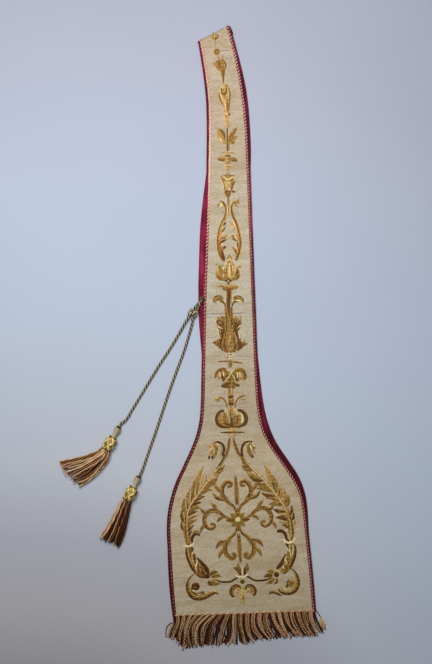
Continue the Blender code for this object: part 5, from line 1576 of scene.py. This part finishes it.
CAP_END = 22.4
SKIRT_SHAPE = "part across up height half_width half_depth"
# Each skirt's random seed, its slanted end, its shape, and the tones of the strands on top, from the
# right of the tassel's run to its left.
SKIRTS = {
    "a": (41, 0.05, table(
        SKIRT_SHAPE,
        (0.0, -235.0, 298.5, 9.0, 8.6, 7.8), (0.12, -239.5, 292.0, 9.0, 13.4, 8.2),
        (0.3, -249.0, 284.0, 8.6, 16.8, 7.8), (0.65, -274.5, 269.5, 7.0, 24.0, 6.2),
        (1.0, -308.0, 257.5, 5.2, 30.5, 4.6),
    ), (0.85, 0.3, 0.9, 1.02, 0.72, 0.98, 0.92, 0.6, 0.95, 0.35, 0.5, 0.95, 0.35, 0.85)),
    "b": (43, 0.0, table(
        SKIRT_SHAPE,
        (0.0, -201.9, 207.6, 9.0, 8.6, 7.8), (0.12, -205.4, 199.5, 9.0, 11.0, 8.2),
        (0.3, -210.8, 186.0, 8.6, 13.2, 7.8), (0.65, -223.5, 158.0, 7.0, 18.0, 6.2),
        (1.0, -238.0, 131.5, 5.2, 21.0, 4.6),
    ), (0.88, 0.84, 0.4, 0.14, 0.55, 0.7, 0.18, 0.12, 0.6, 0.14, 0.2, 0.1)),
}
# Cords of a band of the net: angle beside its middle, radius and tone.
NET_BAND = (
    (-0.28, 0.5, 0.3), (-0.18, 0.84, 0.82), (-0.04, 0.88, 0.88), (0.1, 0.86, 0.86), (0.23, 0.78, 0.7),
    (0.33, 0.5, 0.08),
)
NET_START = 22.0
NET_END = 46.8
NET_BANDS = 5


def twined(side):
    """The way of a leg from the edge to the knot, wound part of a turn about the other leg."""
    places = []
    for share in (0.0, 0.25, 0.5, 0.75):
        turn = math.radians(125.0) * (1.0 - share)
        apart = KNOT_BESIDE * math.cos(turn) + np.array(UP) * math.sin(turn)
        places.append(CORD_EXIT + (KNOT_START - CORD_EXIT) * share + apart * CORD_SPACING / 2.0 * side)
    return places


def cord_line(side, start, axis, points):
    line = [*twined(side), KNOT_START + KNOT_BESIDE * CORD_SPACING / 2.0 * side, *points]
    for along in (-5, 1, 20, 47):
        flat = np.array(start) + unit(np.array(axis)) * along
        line.append((*flat, np.interp(along, HEAD["along"], HEAD["height"])))
    return route(line, 0.8)


def around(centre, ahead, far, aside, height):
    """A line by its distances from a centre: ahead, beside the knot's way, and up."""
    return centre + np.outer(far, ahead) + np.outer(aside, KNOT_BESIDE) + np.outer(height, UP)


def knot():
    """A double overhand of the cord itself, drawn tight round both legs."""
    build = Build()
    length = np.linalg.norm(KNOT_END - KNOT_START)
    centre = (KNOT_START + KNOT_END) / 2.0
    centre[2] = KNOT_HEIGHT
    centre[:2] += KNOT_AHEAD[:2] * 1.6
    t = np.linspace(0.0, 1.0, 130)
    turn = 0.9 + math.tau * 1.9 * t
    wide = 5.4 + 0.9 * np.sin(math.pi * t)
    coil = around(centre, KNOT_AHEAD, (t - 0.5) * (length - 9.0), wide * np.cos(turn), 3.7 * np.sin(turn))
    add_twist(build, coil, 4, 1.3, 1.3, 13.0, 0.4, (0.8, 0.16, 0.8, 0.16))
    t = np.linspace(0.0, 1.0, 60)
    over = around(centre, KNOT_AHEAD, (0.5 - t) * (length - 6.0), -5.0 + 10.0 * ease(t),
                  -1.6 + 6.4 * np.sin(math.pi * t) ** 0.7)
    add_twist(build, over, 4, 1.3, 1.3, 13.0, 1.4, (0.88, 0.24, 0.88, 0.24))
    build.piece("tie_knot_twist", CORD, ["tie_knot"])


def whipping():
    """Thread wound round both legs where they leave the edge, closing over their cut ends."""
    build = Build()
    back = unit((CORD_EXIT - KNOT_START) * (1.0, 1.0, 0.0))
    t = np.linspace(0.0, 1.0, 200)
    turn = math.tau * 7.0 * t
    size = np.sqrt(np.clip(1.0 - (np.clip(t, 0.55, 1.0) - 0.55) ** 2 / 0.21, 0.0, 1.0))
    coil = around(CORD_EXIT, back, 6.4 * t - 2.8, 4.1 * size * np.cos(turn), 4.6 * size * np.sin(turn))
    add_twist(build, coil, 2, 0.5, 0.42, 5.0, 0.0, (0.5, 0.15), 5)
    build.piece("tie_cord_whipping", CORD)


def head_point(start, axis, along, turn, proud=0.0):
    """Places on a tassel's head, by the distance along its axis and the turn about it."""
    axis = unit(np.array(axis))
    radius = smooth(HEAD, "radius", along) + proud
    across = (radius * np.cos(turn))[..., None] * (-axis[1], axis[0])
    flat = np.array(start) + np.multiply.outer(along, axis) + across
    return lifted(flat, smooth(HEAD, "height", along) + radius * np.sin(turn))


def tassel_cap(leg, start, axis):
    """Bell cap and neck, whipped with thread, with painted shade in the dents between the wraps."""
    along = np.linspace(0.0, CAP_END, 57)
    whip = (-0.45 + 0.45 * np.abs(np.sin(along * math.pi / 1.6)))[:, None]
    along, turn = np.meshgrid(along, HEAD_TURNS, indexing="ij")
    # Darker in the dents between the wraps: painted shade; much darker over the first 3 mm.
    tone = 0.58 + 0.01 * along + 0.08 * np.cos(3.0 * turn) + 0.8 * (whip + 0.2)
    build = Build()
    build.add_rings(head_point(start, axis, along, turn, whip), tone * (1.0 - 0.8 * (along < 3.0)))
    build.piece(f"tassel_{leg}_cap", CORD)


def tassel_ball(leg, start, axis):
    """A ball under a net of twisted cord, with a ring at either end."""
    along, turn = np.meshgrid(np.linspace(21.6, 47.0, 40), HEAD_TURNS, indexing="ij")
    build = Build()
    build.add_rings(head_point(start, axis, along, turn, -1.1), 0.46)
    along = np.linspace(NET_START, NET_END, 46)
    share = (along - NET_START) / (NET_END - NET_START)
    for hand in (-1.0, 1.0):
        weave = 0.75 * np.sin(share * math.pi * 3.0 + (hand + 1.0) * math.pi / 2.0)
        for k in range(NET_BANDS):
            for beside, radius, light in NET_BAND:
                turn = math.tau * (k + 0.3) / NET_BANDS + beside + hand * 1.9 * share
                line = head_point(start, axis, along, turn, -0.4 + weave)
                line[:, 2] = np.maximum(line[:, 2], radius)
                # Paler where a band rides over and darker where it dips under: painted light and shade.
                add_tube(build, line, radius, 6, light * (1.0 + 0.14 * weave))
    turn = np.linspace(0.0, math.tau, 73)
    for at, proud in ((CAP_END, 0.3), (47.2, 0.4)):
        line = head_point(start, axis, np.full(len(turn), at), turn, proud)
        line[:, 2] = np.maximum(line[:, 2], 1.4)
        add_twist(build, line, 2, 0.8, 0.6, 5.0, 0.0, (0.4, 0.12), 5)
    build.piece(f"tassel_{leg}_net", GILT, [f"tassel_{leg}_head"])


def tassel_skirt(leg, start, axis):
    """Two layers of spreading strands, the inner one darker as painted shade between the outer strands."""
    seed, slant, shape, tones = SKIRTS[leg]
    rng = np.random.default_rng(seed)
    ring = np.array(start) + unit(np.array(axis)) * (HEAD["along"][-1] + 0.6)
    stops = np.linspace(-1.0, 1.0, len(tones))
    build = Build()
    for layer, count, shrink in ((0, 30, 1.6), (1, 22, 4.2)):
        for i in range(count):
            turn = math.tau * (i + rng.uniform(0.3, 0.7) + 0.5 * layer) / count
            reach = 0.94 - slant * math.cos(turn) * (2.4 if math.cos(turn) > 0.0 else 1.0)
            reach += rng.uniform(-0.06, 0.05) - 0.02 * layer
            part = np.linspace(0.0, reach, 34)
            across, up, height, wide, deep = (smooth(shape, name, part) for name in SKIRT_SHAPE.split()[1:])
            blend = ease(part / 0.12)[:, None]
            middle = ring * (1.0 - blend) + np.stack([across, up], -1) * blend
            ahead = unit(np.gradient(middle, axis=0))
            side = np.stack([-ahead[:, 1], ahead[:, 0]], -1)
            drift = turn + rng.normal(0.0, 0.12) * np.sin(math.pi * part / reach) + rng.normal(0.0, 0.06) * part
            drift += rng.normal(0.0, 0.05) * np.sin(2.0 * math.pi * part / reach)
            flat = middle + side * (np.maximum(wide - shrink, 1.0) * np.cos(drift))[:, None]
            height = height + np.maximum(deep - shrink, 0.6) * np.sin(drift)
            # The inner layer is darkened as painted shade in the gaps between the outer strands.
            light = np.interp(math.cos(turn), stops, tones) * rng.uniform(0.9, 1.08) * (1.0 - 0.68 * layer)
            light *= 0.7 if i % 3 == 1 else 1.16
            add_twist(build, resample(lifted(flat, np.maximum(height, 1.6)), 1.4), 2, 1.06, 0.62,
                      rng.uniform(30.0, 44.0), rng.uniform(0, 6.0), (light, light * 0.94), 6, 0.85)
    build.piece(f"tassel_{leg}_threads", STRAND, [f"tassel_{leg}_skirt"])


def tie_leg(leg, side, start, axis, points):
    line = cord_line(side, start, axis, points)
    build = Build()
    add_twist(build, line, 4, 1.2, 1.26, 15.0, 0.0, (0.7, 0.2, 0.7, 0.2))
    cord = build.piece(f"tie_cord_{leg}_twist", CORD, [f"tie_cord_{leg}_top", f"tie_cord_{leg}"])
    tassel_cap(leg, start, axis)
    tassel_ball(leg, start, axis)
    tassel_skirt(leg, start, axis)
    ends = [f"tassel_{leg}_cap", f"tassel_{leg}_net", f"tassel_{leg}_threads"]
    if leg == "a":
        ends += ["tie_knot_twist", "tie_cord_whipping"]


knot()
whipping()
for leg, way in LEGS.items():
    tie_leg(leg, *way)


# ---------------------------------------------------------------- floor, light and camera

SENSOR = 36.0
CAMERA_HEIGHT = 2.6
VIEW_WIDTH = 1.1952
AIM = np.array((-0.05, 0.1, 0.0))
# Place, size, power and colour of each lamp.
LAMPS = {
    "window": ((-0.28, 0.52, 1.3), 0.7, 15.4, (1.0, 0.985, 0.97)),
    "fill": ((0.15, 0.25, 1.6), 1.2, 6.3, (0.94, 0.97, 1.0)),
}


def floor_finish():
    """Pale paper, with the shades of the room's light on it from the upper right to the lower left."""
    made = Finish("floor_paper", 0.85, 0.2)
    colour = made.ramp(made.noise(1.6), ((0.35, (250, 250, 251)), (0.65, (255, 255, 255))))
    apart = made.node("ShaderNodeVectorMath", {0: made.place, 1: (-0.4, -0.9, 0.0)}, operation="DISTANCE")
    share = made.math("DIVIDE", apart.outputs["Value"], 1.6)
    colour = made.tinted(colour, share, (
        (0.2, (168, 165, 169)), (0.27, (182, 179, 183)), (0.35, (181, 182, 191)), (0.44, (194, 199, 208)),
        (0.6, (188, 199, 216)), (0.75, (187, 196, 214)), (0.95, (181, 184, 200)),
    ))
    return made.done(colour, made.noise(260.0), 0.0002, 0.25)


def stage():
    bpy.ops.mesh.primitive_plane_add(size=9.0, location=(0.0, 0.0, 0.0))
    floor = bpy.context.object
    floor.name = "floor"
    floor.data.materials.append(floor_finish())

    world = bpy.data.worlds.new("soft_room")
    world.use_nodes = True
    world.node_tree.nodes["Background"].inputs["Color"].default_value = (0.80, 0.88, 1.0, 1.0)
    world.node_tree.nodes["Background"].inputs["Strength"].default_value = 0.14
    bpy.context.scene.world = world
    for name, (place, size, power, colour) in LAMPS.items():
        lamp = bpy.data.lights.new(name, "AREA")
        lamp.size = size
        lamp.energy = power
        lamp.color = colour
        made = bpy.data.objects.new(name, lamp)
        made.location = place
        made.rotation_mode = "QUATERNION"
        made.rotation_quaternion = Vector(AIM - np.array(place)).to_track_quat("-Z", "Y")
        bpy.context.collection.objects.link(made)


def camera():
    """Straight above, turned a little, so that the stole leans as it lies."""
    lens = bpy.data.cameras.new("camera")
    lens.sensor_fit = "AUTO"
    lens.sensor_width = SENSOR
    lens.lens = SENSOR * CAMERA_HEIGHT / VIEW_WIDTH
    lens.clip_end = 50.0
    made = bpy.data.objects.new("camera", lens)
    made.location = (-0.0236, 0.0123, CAMERA_HEIGHT)
    made.rotation_euler = (0.0, 0.0, math.radians(-3.1))
    bpy.context.collection.objects.link(made)
    bpy.context.scene.camera = made


stage()
camera()
bpy.context.scene.view_settings.view_transform = "Standard"
